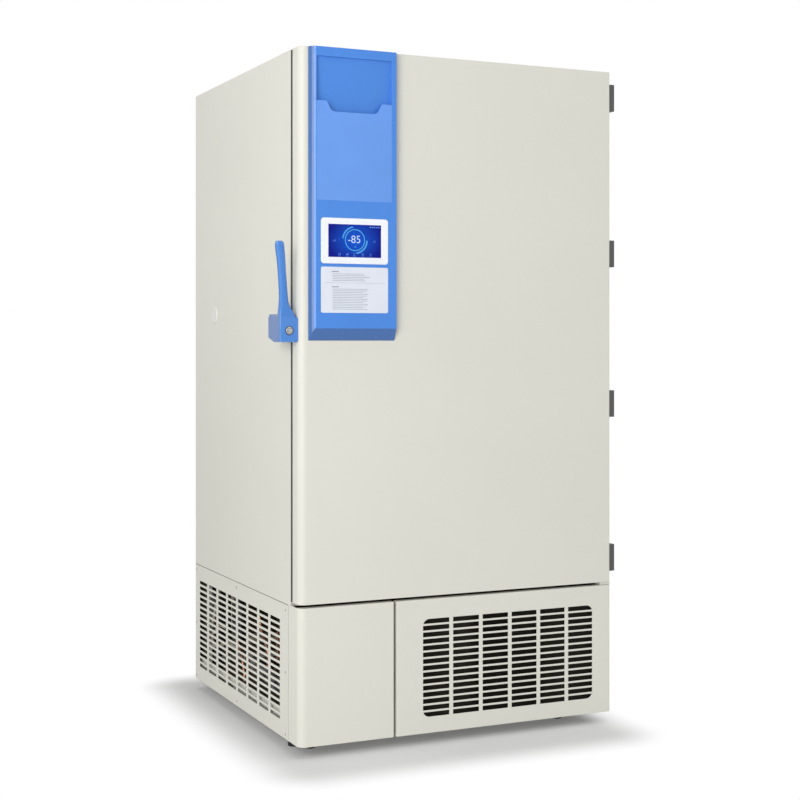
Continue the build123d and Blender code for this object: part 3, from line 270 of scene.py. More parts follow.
class Finish:
    """A material whose patterns read the piece's own coordinates, in metres."""

    def __init__(self, name, colour, roughness, metallic=0.0, specular=0.5, coat=0.0, coat_roughness=0.05):
        self.material = bpy.data.materials.new(name)
        self.material.use_nodes = True
        self.tree = self.material.node_tree
        self.shader = self.tree.nodes["Principled BSDF"]
        self.set("Base Color", colour)
        self.set("Roughness", roughness)
        self.set("Metallic", metallic)
        self.set("Specular IOR Level", specular)
        self.set("Coat Weight", coat)
        self.set("Coat Roughness", coat_roughness)
        self.coordinates = self.tree.nodes.new("ShaderNodeTexCoord")

    def set(self, socket, value):
        self.shader.inputs[socket].default_value = value

    def link(self, source, target):
        self.tree.links.new(source, target)

    def node(self, kind, **settings):
        node = self.tree.nodes.new(kind)
        for key, value in settings.items():
            setattr(node, key, value)
        return node

    def stretched(self, stretch):
        mapping = self.node("ShaderNodeMapping")
        mapping.inputs["Scale"].default_value = stretch
        self.link(self.coordinates.outputs["Object"], mapping.inputs["Vector"])
        return mapping.outputs["Vector"]

    def noise(self, scale, detail=2.0, rough=0.5, stretch=(1, 1, 1)):
        node = self.node("ShaderNodeTexNoise")
        node.inputs["Scale"].default_value = scale
        node.inputs["Detail"].default_value = detail
        node.inputs["Roughness"].default_value = rough
        self.link(self.stretched(stretch), node.inputs["Vector"])
        return node.outputs["Fac"]

    def cells(self, scale):
        node = self.node("ShaderNodeTexVoronoi")
        node.inputs["Scale"].default_value = scale
        self.link(self.stretched((1, 1, 1)), node.inputs["Vector"])
        return node.outputs["Distance"]

    def ranged(self, source, low, high, from_low=0.3, from_high=0.7):
        node = self.node("ShaderNodeMapRange")
        node.inputs["From Min"].default_value = from_low
        node.inputs["From Max"].default_value = from_high
        node.inputs["To Min"].default_value = low
        node.inputs["To Max"].default_value = high
        self.link(source, node.inputs["Value"])
        return node.outputs["Result"]

    def mixed(self, share, first, second, blend="MIX"):
        """Mixes two colours; each is a colour or another node's output."""
        node = self.node("ShaderNodeMix", data_type="RGBA", blend_type=blend)
        sockets = [s for s in node.inputs if s.type == "RGBA"]
        factor = node.inputs[0]
        for socket, value in zip(sockets, (first, second)):
            if isinstance(value, bpy.types.NodeSocket):
                self.link(value, socket)
            else:
                socket.default_value = value
        if isinstance(share, bpy.types.NodeSocket):
            self.link(share, factor)
        else:
            factor.default_value = share
        return [s for s in node.outputs if s.type == "RGBA"][0]

    def colour(self, source):
        self.link(source, self.shader.inputs["Base Color"])
        return self

    def roughness(self, source, low, high):
        self.link(self.ranged(source, low, high), self.shader.inputs["Roughness"])
        return self

    def bump(self, source, height, strength=1.0, edge=None):
        """Bump from a pattern, its full height in metres; edge is the radius of a worn-in corner."""
        node = self.node("ShaderNodeBump")
        node.inputs["Distance"].default_value = height
        node.inputs["Strength"].default_value = strength
        self.link(source, node.inputs["Height"])
        if edge:
            corner = self.node("ShaderNodeBevel", samples=6)
            corner.inputs["Radius"].default_value = edge
            self.link(corner.outputs["Normal"], node.inputs["Normal"])
        self.link(node.outputs["Normal"], self.shader.inputs["Normal"])
        return self

    def axis(self, name):
        """One object coordinate, in metres."""
        split = self.node("ShaderNodeSeparateXYZ")
        self.link(self.coordinates.outputs["Object"], split.inputs[0])
        return split.outputs[name]


def shade(colour, factor):
    """The same colour, lighter or darker."""
    return (*(channel * factor for channel in colour[:3]), 1.0)


def powder_coat(name, colour, edge=0.0012):
    """Fine satin powder coat with a soft orange peel."""
    finish = Finish(name, colour, 0.42, specular=0.4)
    broad = finish.ranged(finish.noise(2.2, 3), 0.0, 1.0)
    fine = finish.ranged(finish.noise(900, 1), 0.0, 1.0)
    tone = finish.mixed(broad, shade(colour, 0.985), shade(colour, 1.012))
    speck = finish.mixed(fine, shade(colour, 0.99), tone)
    finish.colour(finish.mixed(0.35, tone, speck))
    finish.roughness(finish.noise(35, 4), 0.38, 0.47)
    return finish.bump(finish.noise(420, 3), 0.00004, 0.5, edge).material


def gloss_blue(name, colour, edge=0.0012, rim=None):
    """Glossy moulded plastic with the faint flow of the melt; rim is a tone of painted shade, mixed in where
    the surface turns away from the view.
    """
    finish = Finish(name, colour, 0.2, specular=0.5, coat=0.25, coat_roughness=0.08)
    flow = finish.ranged(finish.noise(6, 3, stretch=(1, 1, 0.35)), 0.0, 1.0)
    tone = finish.mixed(flow, shade(colour, 0.965), shade(colour, 1.03))
    # painted shade: the colour turns toward the rim tone where the surface faces away from the view
    if rim:
        turned = finish.node("ShaderNodeLayerWeight")
        turned.inputs["Blend"].default_value = 0.5
        tone = finish.mixed(finish.ranged(turned.outputs["Facing"], 0.0, 1.0, 0.3, 0.85), tone, rim)
    finish.colour(tone)
    finish.roughness(finish.noise(60, 4), 0.16, 0.26)
    return finish.bump(finish.noise(260, 2), 0.00002, 0.4, edge).material


PANEL_LEFT_BEVEL = -461.5
PANEL_LOW_BEVEL = 1182
# painted shade: the darker blue of the panel's left and lower bevels
BEVEL_SHADE_BLUE = paint(70, 110, 172)


def panel_blue(name, colour):
    """The blue panel's moulding; its left and lower bevels, up to the places above, carry painted shade: a
    darker blue where they turn away from the light.
    """
    finish = Finish(name, colour, 0.22, specular=0.4)
    flow = finish.ranged(finish.noise(6, 3, stretch=(1, 1, 0.35)), 0.0, 1.0)
    face = finish.mixed(flow, shade(colour, 0.965), shade(colour, 1.03))
    # mask of the painted shade on the left and lower bevels
    left = finish.ranged(finish.axis("X"), 1.0, 0.0, at(PANEL_LEFT_BEVEL - 1, 0, 0).x,
                         at(PANEL_LEFT_BEVEL, 0, 0).x)
    low = finish.ranged(finish.axis("Z"), 1.0, 0.0, (PANEL_LOW_BEVEL - 1) * MM, PANEL_LOW_BEVEL * MM)
    edge = finish.node("ShaderNodeMath", operation="MAXIMUM")
    finish.link(left, edge.inputs[0])
    finish.link(low, edge.inputs[1])
    finish.colour(finish.mixed(edge.outputs[0], face, BEVEL_SHADE_BLUE))
    finish.roughness(finish.noise(60, 4), 0.18, 0.28)
    return finish.bump(finish.noise(260, 2), 0.00002, 0.4, 0.0016).material


def satin_moulding(name, colour, roughness=0.5, edge=0.0008):
    """Vacuum-formed or moulded plastic with a fine spark-eroded grain."""
    finish = Finish(name, colour, roughness, specular=0.45)
    patch = finish.ranged(finish.noise(9, 3), 0.0, 1.0)
    finish.colour(finish.mixed(patch, shade(colour, 0.96), shade(colour, 1.02)))
    finish.roughness(finish.noise(50, 3), roughness - 0.06, roughness + 0.06)
    return finish.bump(finish.noise(1500, 2), 0.00003, 0.5, edge).material


def brushed_sheet(name, colour, roughness=0.34):
    """Stainless sheet, brushed across its height."""
    finish = Finish(name, colour, roughness, metallic=1.0)
    grain = finish.noise(14, 3, 0.6, (3, 3, 220))
    cloud = finish.ranged(finish.noise(3, 3), 0.0, 1.0)
    tone = finish.mixed(finish.ranged(grain, 0.0, 1.0), shade(colour, 0.9), shade(colour, 1.08))
    finish.colour(finish.mixed(cloud, tone, shade(colour, 0.95)))
    finish.roughness(grain, roughness - 0.08, roughness + 0.1)
    return finish.bump(grain, 0.00003, 0.5, 0.0006).material


def rigid_foam(name, colour):
    """Closed-cell insulation foam, cut."""
    finish = Finish(name, colour, 0.9, specular=0.2)
    cell = finish.cells(700)
    patch = finish.ranged(finish.noise(12, 4), 0.0, 1.0)
    finish.colour(finish.mixed(patch, shade(colour, 0.86), shade(colour, 1.05)))
    return finish.bump(cell, 0.0005, 0.7).material


def seal_rubber(name, colour):
    """Soft gasket rubber with talc-pale streaks."""
    finish = Finish(name, colour, 0.62, specular=0.35)
    streak = finish.ranged(finish.noise(30, 4, stretch=(1, 1, 0.1)), 0.0, 1.0)
    finish.colour(finish.mixed(streak, shade(colour, 0.8), shade(colour, 1.25)))
    return finish.bump(finish.noise(600, 2), 0.00008, 0.6).material


def machined_steel(name, colour, roughness=0.3):
    """Plated steel with the fine rings of turning."""
    finish = Finish(name, colour, roughness, metallic=1.0)
    turned = finish.noise(260, 2, 0.6, (1, 1, 6))
    finish.colour(finish.mixed(finish.ranged(turned, 0.0, 1.0), shade(colour, 0.82), shade(colour, 1.1)))
    finish.roughness(finish.noise(120, 3), roughness - 0.1, roughness + 0.12)
    return finish.bump(turned, 0.00003, 0.4, 0.0005).material


def enamel_black(name, colour=(0.012, 0.012, 0.013, 1)):
    """Thick gloss enamel over a rough drawn pot, dusty on top."""
    finish = Finish(name, colour, 0.25, specular=0.55, coat=0.4, coat_roughness=0.12)
    dust = finish.ranged(finish.noise(26, 5, 0.65), 0.0, 1.0, 0.45, 0.75)
    finish.colour(finish.mixed(dust, colour, (0.05, 0.048, 0.044, 1)))
    finish.roughness(finish.noise(40, 4), 0.2, 0.42)
    return finish.bump(finish.noise(140, 3), 0.0002, 0.5).material


def drawn_copper(name, colour):
    """Bright copper tube, browner where it has been brazed and handled."""
    finish = Finish(name, colour, 0.28, metallic=1.0)
    tarnish = finish.ranged(finish.noise(24, 5, 0.6), 0.0, 1.0, 0.4, 0.68)
    finish.colour(finish.mixed(tarnish, colour, shade(colour, 0.45)))
    finish.roughness(finish.noise(90, 3), 0.2, 0.42)
    return finish.bump(finish.noise(300, 2), 0.00006, 0.4).material


def rolled_fins(name, colour):
    """Thin bright fins with a little dust between them."""
    finish = Finish(name, colour, 0.4, metallic=1.0)
    dust = finish.ranged(finish.noise(18, 5), 0.0, 1.0, 0.42, 0.7)
    finish.colour(finish.mixed(dust, colour, shade(colour, 0.55)))
    finish.roughness(finish.noise(70, 3), 0.3, 0.55)
    return finish.bump(finish.noise(400, 2, stretch=(1, 1, 0.2)), 0.0001, 0.4).material


def foam_sleeve(name, colour):
    """Pale foam-rubber pipe insulation with a seam of tape."""
    finish = Finish(name, colour, 0.8, specular=0.25)
    patch = finish.ranged(finish.noise(20, 4), 0.0, 1.0)
    finish.colour(finish.mixed(patch, shade(colour, 0.8), shade(colour, 1.05)))
    return finish.bump(finish.cells(260), 0.0006, 0.5).material


def filter_weave(name, colour, dust=2.6):
    """An open mat: crossed threads over a slow change of tone from dust."""
    finish = Finish(name, colour, 0.9, specular=0.04)
    broad = finish.ranged(finish.noise(7, 2, stretch=(1.4, 1, 0.12)), 0.0, 1.0, 0.4, 0.72)
    finish.colour(finish.mixed(broad, colour, shade(colour, dust)))
    warp = finish.node("ShaderNodeTexWave", bands_direction="X")
    warp.inputs["Scale"].default_value = 160
    finish.link(finish.coordinates.outputs["Object"], warp.inputs["Vector"])
    weft = finish.node("ShaderNodeTexWave", bands_direction="Z")
    weft.inputs["Scale"].default_value = 160
    finish.link(finish.coordinates.outputs["Object"], weft.inputs["Vector"])
    top = finish.node("ShaderNodeMath", operation="MAXIMUM")
    finish.link(warp.outputs["Fac"], top.inputs[0])
    finish.link(weft.outputs["Fac"], top.inputs[1])
    return finish.bump(top.outputs[0], 0.0006, 0.8).material


def polished_chrome(name):
    """Chrome, a little smeared and worn."""
    finish = Finish(name, (0.5, 0.5, 0.51, 1), 0.12, metallic=1.0)
    smear = finish.noise(120, 4)
    worn = finish.ranged(finish.noise(300, 2), 0.0, 1.0)
    finish.colour(finish.mixed(worn, (0.3, 0.3, 0.31, 1), (0.62, 0.62, 0.63, 1)))
    finish.roughness(smear, 0.05, 0.16)
    return finish.bump(smear, 0.00002, 0.3, 0.0008).material


def clear_plate(name, colour):
    """Tinted clear plastic plate."""
    finish = Finish(name, colour, 0.12, specular=0.5)
    finish.set("Alpha", 0.8)
    haze = finish.ranged(finish.noise(5, 3), 0.0, 1.0)
    finish.colour(finish.mixed(haze, shade(colour, 0.95), shade(colour, 1.05)))
    finish.roughness(finish.noise(30, 3), 0.08, 0.2)
    return finish.material


MARK_FACE = -17.0
SCREEN_CENTRE = (-342, 1426)


def screen_glow(name):
    """The lit display: deep blue, brighter and more cyan round the read-out."""
    finish = Finish(name, (0.0, 0.002, 0.03, 1), 0.2, specular=0.12)
    across = finish.node("ShaderNodeVectorMath", operation="SUBTRACT")
    finish.link(finish.coordinates.outputs["Object"], across.inputs[0])
    across.inputs[1].default_value = at(SCREEN_CENTRE[0], MARK_FACE, SCREEN_CENTRE[1])
    length = finish.node("ShaderNodeVectorMath", operation="LENGTH")
    squeeze = finish.node("ShaderNodeVectorMath", operation="MULTIPLY")
    squeeze.inputs[1].default_value = (0.75, 1.0, 1.0)
    finish.link(across.outputs[0], squeeze.inputs[0])
    finish.link(squeeze.outputs[0], length.inputs[0])
    halo = finish.ranged(length.outputs["Value"], 1.0, 0.0, 0.012, 0.062)
    beams = finish.ranged(finish.noise(60, 3, stretch=(1, 1, 2.5)), 0.7, 1.0)
    near = finish.node("ShaderNodeMath", operation="MULTIPLY")
    finish.link(halo, near.inputs[0])
    finish.link(beams, near.inputs[1])
    glow = finish.mixed(near.outputs[0], paint(4, 16, 132), paint(16, 92, 214))
    finish.link(glow, finish.shader.inputs["Emission Color"])
    finish.set("Emission Strength", 0.92)
    return finish.material


def lit_mark(name, colour, strength=1.0):
    """A lit mark on the display."""
    finish = Finish(name, (0.0, 0.0, 0.0, 1), 0.4)
    flicker = finish.ranged(finish.noise(300, 1), 0.0, 1.0)
    glow = finish.mixed(flicker, shade(colour, 0.94), colour)
    finish.link(glow, finish.shader.inputs["Emission Color"])
    finish.set("Emission Strength", strength)
    return finish.material


def print_and_shade_tone(name, colour):
    """A flat tone, printed on the card and used as painted shade at the lock."""
    finish = Finish(name, colour, 0.5)
    spread = finish.ranged(finish.noise(500, 2), 0.0, 1.0)
    finish.colour(finish.mixed(spread, colour, shade(colour, 1.25)))
    return finish.material


IVORY = paint(222, 221, 211)
BLUE = paint(74, 137, 223)

# One finish for each slot of the record
finishes = {
    "cabinet_paint": powder_coat("ivory_powder_coat", IVORY),
    "blue_gloss": gloss_blue("blue_gloss_moulding", BLUE),
    "pocket_clear": clear_plate("tinted_clear_plate", paint(112, 168, 250)),
    "white_gloss": satin_moulding("white_display_frame", paint(243, 246, 252), 0.28),
    "screen_glass": screen_glow("lit_display"),
    "card_white": satin_moulding("bare_instruction_card", paint(226, 231, 242), 0.4, edge=0.0003),
    "foam": rigid_foam("insulation_foam", paint(224, 208, 160)),
    "stainless": brushed_sheet("brushed_stainless", (0.6, 0.6, 0.6, 1)),
    "white_moulding": satin_moulding("white_formed_liner", paint(226, 227, 226)),
    "seal_rubber": seal_rubber("gasket_rubber", paint(88, 86, 80)),
    "hinge_grey": powder_coat("dark_grey_coat", paint(84, 84, 84), 0.0008),
    "bare_steel": machined_steel("zinc_plated_steel", (0.52, 0.52, 0.53, 1)),
    "chrome_lock": polished_chrome("polished_lock"),
    "black_coat": enamel_black("compressor_enamel"),
    "copper": drawn_copper("drawn_copper", (0.52, 0.26, 0.16, 1)),
    "fin_metal": rolled_fins("aluminium_fins", (0.62, 0.63, 0.64, 1)),
    "grey_coat": powder_coat("zinc_grey_coat", paint(150, 151, 149), 0.0008),
    "pipe_sleeve": foam_sleeve("pipe_insulation", paint(206, 198, 180)),
    "filter_mat": filter_weave("filter_mat", (0.0085, 0.0078, 0.0062, 1)),
    "black_plastic": satin_moulding("black_nylon", (0.012, 0.012, 0.013, 1), 0.45),
    "port_cap": satin_moulding("off_white_cap", paint(224, 223, 218), 0.4),
}

# Nodes with a finish of their own
own_finishes = {"door_panel": panel_blue("blue_panel_moulding_shaded_bevels", BLUE)}


def dress_cad_nodes():
    """Each CAD node takes the finish of its record slot, or its own where it has one."""
    for part in frame["record"]["subparts"]:
        node = cad[part["node"]]
        finish = own_finishes.get(part["node"], finishes[part["material_slot"]])
        node.material_slots[0].material = finish


# The display's marks

MARK_THICK = 0.25


def flat_ring(x, z, outer, inner, start=0.0, end=360.0, steps=96):
    """A flat ring or arc on the display, as points and faces."""
    whole = abs(end - start) >= 360
    points, faces = [], []
    count = steps if whole else steps + 1
    for k in range(count):
        angle = math.radians(start + (end - start) * k / steps)
        for radius in (outer, inner):
            points.append(at(x + radius * math.cos(angle), MARK_FACE, z + radius * math.sin(angle)))
    for k in range(steps):
        a, b = 2 * k, 2 * ((k + 1) % count)
        faces.append((a, b, b + 1, a + 1))
    return points, faces


def joined(pieces):
    """Several lots of points and faces as one."""
    points, faces = [], []
    for more_points, more_faces in pieces:
        shift = len(points)
        points += more_points
        faces += [tuple(k + shift for k in face) for face in more_faces]
    return points, faces


def flat_bar(x0, z0, x1, z1):
    """A flat bar on the display, as points and faces."""
    points = [at(x0, MARK_FACE, z0), at(x1, MARK_FACE, z0), at(x1, MARK_FACE, z1), at(x0, MARK_FACE, z1)]
    return points, [(0, 1, 2, 3)]


def thick_mark(name, points, faces, finish):
    """A flat mark given a little thickness, facing the front."""
    piece = mesh_piece(name, points, faces)
    solid = piece.modifiers.new("thickness", "SOLIDIFY")
    solid.thickness = MARK_THICK * MM
    solid.offset = 0
    finished(piece, "outer_door", finish)
    point_outwards(piece)
    return piece


def digits(name, text, x, z, size, finish):
    """Digits on the display, turned from a curve to a mesh."""
    curve = bpy.data.curves.new(name, "FONT")
    curve.body = text
    curve.size = size * MM
    curve.align_x = "CENTER"
    curve.align_y = "CENTER"
    curve.extrude = MARK_THICK * MM / 2
    curve.offset = -0.0003 * size / 30
    source = bpy.data.objects.new(name + "_curve", curve)
    bpy.context.scene.collection.objects.link(source)
    graph = bpy.context.evaluated_depsgraph_get()
    mesh = bpy.data.meshes.new_from_object(source.evaluated_get(graph), depsgraph=graph)
    bpy.data.objects.remove(source)
    place = Matrix.Translation(at(x, MARK_FACE, z)) @ Matrix.Rotation(math.radians(90), 4, "X")
    mesh.transform(place)
    piece = bpy.data.objects.new(name, mesh)
    mesh.name = name
    bpy.context.scene.collection.objects.link(piece)
    finished(piece, "outer_door", finish)
    point_outwards(piece)
    return piece


ICON_LEVEL = 1385
ICON_PLACES = (-388, -365, -343, -318.5, -295)


def display_marks():
    """The read-out, its ring and arcs, the small side values and a row of plain icons."""
    bright = lit_mark("read_out_white", paint(214, 236, 255))
    cyan = lit_mark("ring_cyan", paint(74, 176, 240))
    soft = lit_mark("icon_blue", paint(84, 134, 224))
    x, z = SCREEN_CENTRE
    digits("read_out", "-85", x - 2, z + 1, 30, bright)
    rings = [flat_ring(x, z, 30.0, 27.8), flat_ring(x, z, 38.2, 35.6, 100, 172, 32),
             flat_ring(x, z, 38.2, 35.6, -82, -2, 32), flat_ring(x, z, 34.5, 33.9, 96, 178, 32),
             flat_ring(x, z, 34.5, 33.9, -86, 2, 32)]
    rings += [flat_ring(x, z, 36.0, 33.6, angle, angle + 2.2, 2) for angle in range(-78, -4, 6)]
    thick_mark("read_out_ring", *joined(rings), cyan)
    digits("set_point_value", "-80", -404, 1423, 7.5, soft)
    digits("alarm_value", "25", -283, 1423, 7.5, soft)
    thick_mark("degree_mark", *flat_ring(x + 1, z - 19, 2.4, 1.6, steps=20), cyan)
    icons = []
    for place in ICON_PLACES:
        icons.append(flat_bar(place - 4, ICON_LEVEL - 4.6, place + 4, ICON_LEVEL - 3.8))
    icons.append(flat_ring(ICON_PLACES[0], ICON_LEVEL + 1.5, 3.4, 2.4, steps=20))
    icons.append(flat_bar(ICON_PLACES[1] - 3, ICON_LEVEL - 1.5, ICON_PLACES[1] - 1.6, ICON_LEVEL + 4))
    icons.append(flat_bar(ICON_PLACES[1] - 0.7, ICON_LEVEL - 1.5, ICON_PLACES[1] + 0.7, ICON_LEVEL + 2.5))
    icons.append(flat_bar(ICON_PLACES[1] + 1.6, ICON_LEVEL - 1.5, ICON_PLACES[1] + 3, ICON_LEVEL + 5))
    icons.append(flat_ring(ICON_PLACES[2], ICON_LEVEL + 1.5, 3.6, 2.6, 45, 315, 20))
    icons.append(flat_bar(ICON_PLACES[3] - 3.4, ICON_LEVEL - 1.4, ICON_PLACES[3] + 3.4, ICON_LEVEL - 0.4))
    icons.append(flat_bar(ICON_PLACES[3] - 3.4, ICON_LEVEL + 1.0, ICON_PLACES[3] + 3.4, ICON_LEVEL + 2.0))
    icons.append(flat_bar(ICON_PLACES[3] - 3.4, ICON_LEVEL + 3.4, ICON_PLACES[3] + 3.4, ICON_LEVEL + 4.4))
    icons.append(flat_ring(ICON_PLACES[4], ICON_LEVEL + 1.5, 3.6, 2.8, 90, 450, 4))
    status = [flat_bar(-298 + 6.5 * k, 1461, -293.5 + 6.5 * k, 1464.5) for k in range(5)]
    thick_mark("display_icons", *joined(icons + status), soft)


CARD_MARK_FACE = -16.92
CARD_MARK_THICK = 0.15
CARD_BLOCKS = ((1338, 5), (1296, 13))
CARD_ROW_START = -409
CARD_ROW_LENGTH = 118
CARD_ROW_RAGGED = 26
CARD_ROW_PITCH = 4.6


def card_bar(x0, x1, z, thick):
    """A flat bar on the card, as points and faces."""
    points = [at(x, CARD_MARK_FACE, z + rise) for x, rise in ((x0, 0), (x1, 0), (x1, thick), (x0, thick))]
    return points, [(0, 1, 2, 3)]


def card_rules():
    """Plain hairlines on the card in two blocks, with no lettering."""
    grey = print_and_shade_tone("card_hairline", paint(132, 138, 150))
    marks = []
    for z, rows in CARD_BLOCKS:
        marks.append(card_bar(-411, -390, z - 1.2, 2.4))
        for row in range(rows):
            length = CARD_ROW_LENGTH - CARD_ROW_RAGGED * abs(math.sin(row * 2.1 + rows))
            level = z - 6.5 - row * CARD_ROW_PITCH
            marks.append(card_bar(CARD_ROW_START, CARD_ROW_START + length, level, 1.0))
    marks.append(card_bar(-432, -250, 1307, 0.5))
    piece = mesh_piece("card_hairlines", *joined(marks))
    solid = piece.modifiers.new("thickness", "SOLIDIFY")
    solid.thickness = CARD_MARK_THICK * MM
    solid.offset = 0
    finished(piece, "outer_door", grey)
    point_outwards(piece)


# Lever handle: each ring has its height, its middle and half width along X, the same along Y, and
# its squareness, from 2 for an oval upwards

LEVER_RINGS = (
    (1144.2, -527.5, 22.5, 22.8, 9.0, 7),
    (1144.8, -527.5, 24.0, 22.8, 10.3, 7),
    (1146.0, -527.5, 24.7, 22.8, 11.0, 7),
    (1196.0, -527.6, 24.8, 22.8, 11.1, 7),
    (1205.0, -527.7, 24.8, 22.9, 11.2, 6),
    (1215.0, -528.6, 23.9, 23.6, 12.0, 5.2),
    (1224.0, -531.0, 21.4, 24.2, 12.7, 4.6),
    (1233.0, -534.0, 18.4, 22.4, 11.4, 4),
    (1242.0, -537.0, 15.4, 19.6, 10.4, 3.4),
    (1252.0, -539.6, 13.4, 17.4, 9.7, 3),
    (1262.0, -540.4, 12.5, 16.0, 9.4, 2.9),
    (1275.0, -541.4, 12.0, 14.5, 9.3, 2.7),
    (1299.0, -544.0, 11.6, 11.3, 9.4, 2.6),
    (1337.0, -548.6, 11.4, 6.5, 9.5, 2.6),
    (1366.0, -552.4, 11.8, 1.0, 9.5, 2.6),
    (1385.0, -556.0, 12.4, -2.3, 9.6, 2.6),
    (1405.0, -559.7, 13.0, -6.4, 9.8, 2.6),
    (1413.0, -560.6, 12.3, -7.8, 9.4, 2.6),
    (1417.4, -561.0, 10.3, -8.2, 8.0, 2.6),
    (1419.3, -561.0, 7.0, -8.2, 5.5, 2.4),
)
LEVER_POINTS = 56
HOUSING_TOP = 1220.9
HOUSING_CREASE = math.radians(28)


def rounded_ring(height, x, half_x, y, half_y, squareness):
    """A ring between an oval and a rounded rectangle."""
    ring = []
    for k in range(LEVER_POINTS):
        angle = 2 * math.pi * k / LEVER_POINTS
        c, n = math.cos(angle), math.sin(angle)
        ring.append(at(x + half_x * math.copysign(abs(c) ** (2 / squareness), c),
                       y + half_y * math.copysign(abs(n) ** (2 / squareness), n), height))
    return ring


def lever_handle():
    """The grip and the housing's front as one smooth moulding, on the lower part of the solid housing."""
    # rim gives the grip painted shade along its turned-away edges
    blue = gloss_blue("handle_moulding_shaded_rim", paint(74, 134, 212), 0.001, rim=paint(44, 84, 140))
    grip = rings_piece("lever_grip", [rounded_ring(*ring) for ring in LEVER_RINGS])
    rounder = grip.modifiers.new("smooth_rings", "SUBSURF")
    rounder.levels = 1
    rounder.render_levels = 1
    finished(grip, "latch_lever", blue)
    source = cad["latch_lever"]
    mesh = source.data.copy()
    mesh.name = "lever_housing"
    mesh.transform(source.matrix_world)
    work = bmesh.new()
    work.from_mesh(mesh)
    bmesh.ops.remove_doubles(work, verts=work.verts, dist=1e-6)
    whole = work.verts[:] + work.edges[:] + work.faces[:]
    cut = bmesh.ops.bisect_plane(work, geom=whole, plane_co=(0, 0, HOUSING_TOP * MM), plane_no=(0, 0, 1),
                                 clear_outer=True)
    rim = [item for item in cut["geom_cut"] if isinstance(item, bmesh.types.BMEdge)]
    bmesh.ops.triangle_fill(work, edges=rim, use_beauty=True)
    bmesh.ops.recalc_face_normals(work, faces=work.faces)
    for face in work.faces:
        face.smooth = True
    for edge in work.edges:
        edge.smooth = not (edge.is_manifold and edge.calc_face_angle() > HOUSING_CREASE)
    work.to_mesh(mesh)
    work.free()
    housing = bpy.data.objects.new("lever_housing", mesh)
    bpy.context.scene.collection.objects.link(housing)
    finished(housing, "latch_lever", blue)
    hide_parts("latch_lever")


LOCK_PLACE = (-524.4, 8.85, 1175.3)
LOCK_RING_DEPTH = 0.2
LOCK_RING_POINTS = 48
# rings of painted shade: the gap round the lock and the groove in its face
LOCK_SHADE_RINGS = (("lock_collar_shade", "latch_lever", 12.3, 10.7, 2.6), ("lock_groove_shade", "lock_barrel", 7.6, 6.9, 0.0))


def lock_shade_rings():
    """Painted shade: a dark ring round the lock, for the gap round it, and a dark groove in its face."""
    # painted shade of the lock's gap and groove
    dark = print_and_shade_tone("lock_recess_painted_shade", paint(30, 32, 38))
    x, y, z = LOCK_PLACE
    angles = [2 * math.pi * k / LOCK_RING_POINTS for k in range(LOCK_RING_POINTS)]
    for name, body, outer, inner, front in LOCK_SHADE_RINGS:
        back = front + LOCK_RING_DEPTH
        rings = []
        for radius, depth in ((inner, back), (inner, front), (outer, front), (outer, back)):
            rings.append([at(x + radius * math.cos(a), y + depth, z + radius * math.sin(a)) for a in angles])
        rings.append(rings[0])
        finished(rings_piece(name, rings, closed_ends=False), body, dark)


# Machine space linings, dark ones of painted shade, and what shows behind the left grille

def slab(name, low, high):
    """A plain block between two places on the drawing."""
    (x0, y0, z0), (x1, y1, z1) = low, high
    points = [at(x, y, z) for z in (z0, z1) for x, y in ((x0, y0), (x1, y0), (x1, y1), (x0, y1))]
    faces = [(0, 3, 2, 1), (4, 5, 6, 7), (0, 1, 5, 4), (1, 2, 6, 5), (2, 3, 7, 6), (3, 0, 4, 7)]
    return mesh_piece(name, points, faces)


# dark sheets of painted shade, set inside the machine space where only shade falls
SHADE_LININGS = {
    "right_shade_sheet": ((492, 96, 84), (497.5, 944, 405)),
    "rear_left_shade_sheet": ((-486, 950, 100), (-428, 955, 405)),
    "roof_shade_sheet": ((-496, 70, 404), (491, 949, 409.5)),
    "panel_top_shade_sheet": ((-486, 27, 407), (470, 66, 410)),
    "rear_post_shade_sheet": ((-487.2, 900, 84), (-485.8, 949, 404)),
}
# tan mats: partly their own tan colour, partly painted shade of the dim machine space
TAN_LININGS = {
    "rear_lining": ((-428, 950, 100), (486, 955, 405)),
    "tray_mat": ((-485, 99, 81.2), (485, 946, 82.4)),
    "left_skirt_lining": ((-497.6, 99, 36), (-496.4, 946, 80)),
    "right_skirt_lining": ((496.4, 99, 36), (497.6, 946, 80)),
}
# Each pipe has its slot, its radius, and its way as places along Y and Z
PIPES = {
    "drain_hose_upper": ("pipe_sleeve", 5.0, ((765, 352), (781, 316), (812, 266), (838, 222))),
    "drain_hose_lower": ("pipe_sleeve", 5.0, ((700, 243), (760, 236), (797, 214), (836, 188), (826, 170),
                                              (790, 168), (745, 178), (664, 199), (600, 196))),
    "hot_gas_pipe": ("copper", 6.0, ((384, 350), (355, 294), (307, 244), (298, 196))),
    "oil_return_pipe": ("copper", 5.0, ((575, 225), (557, 207), (519, 143), (508, 110))),
}
PIPE_X = -482


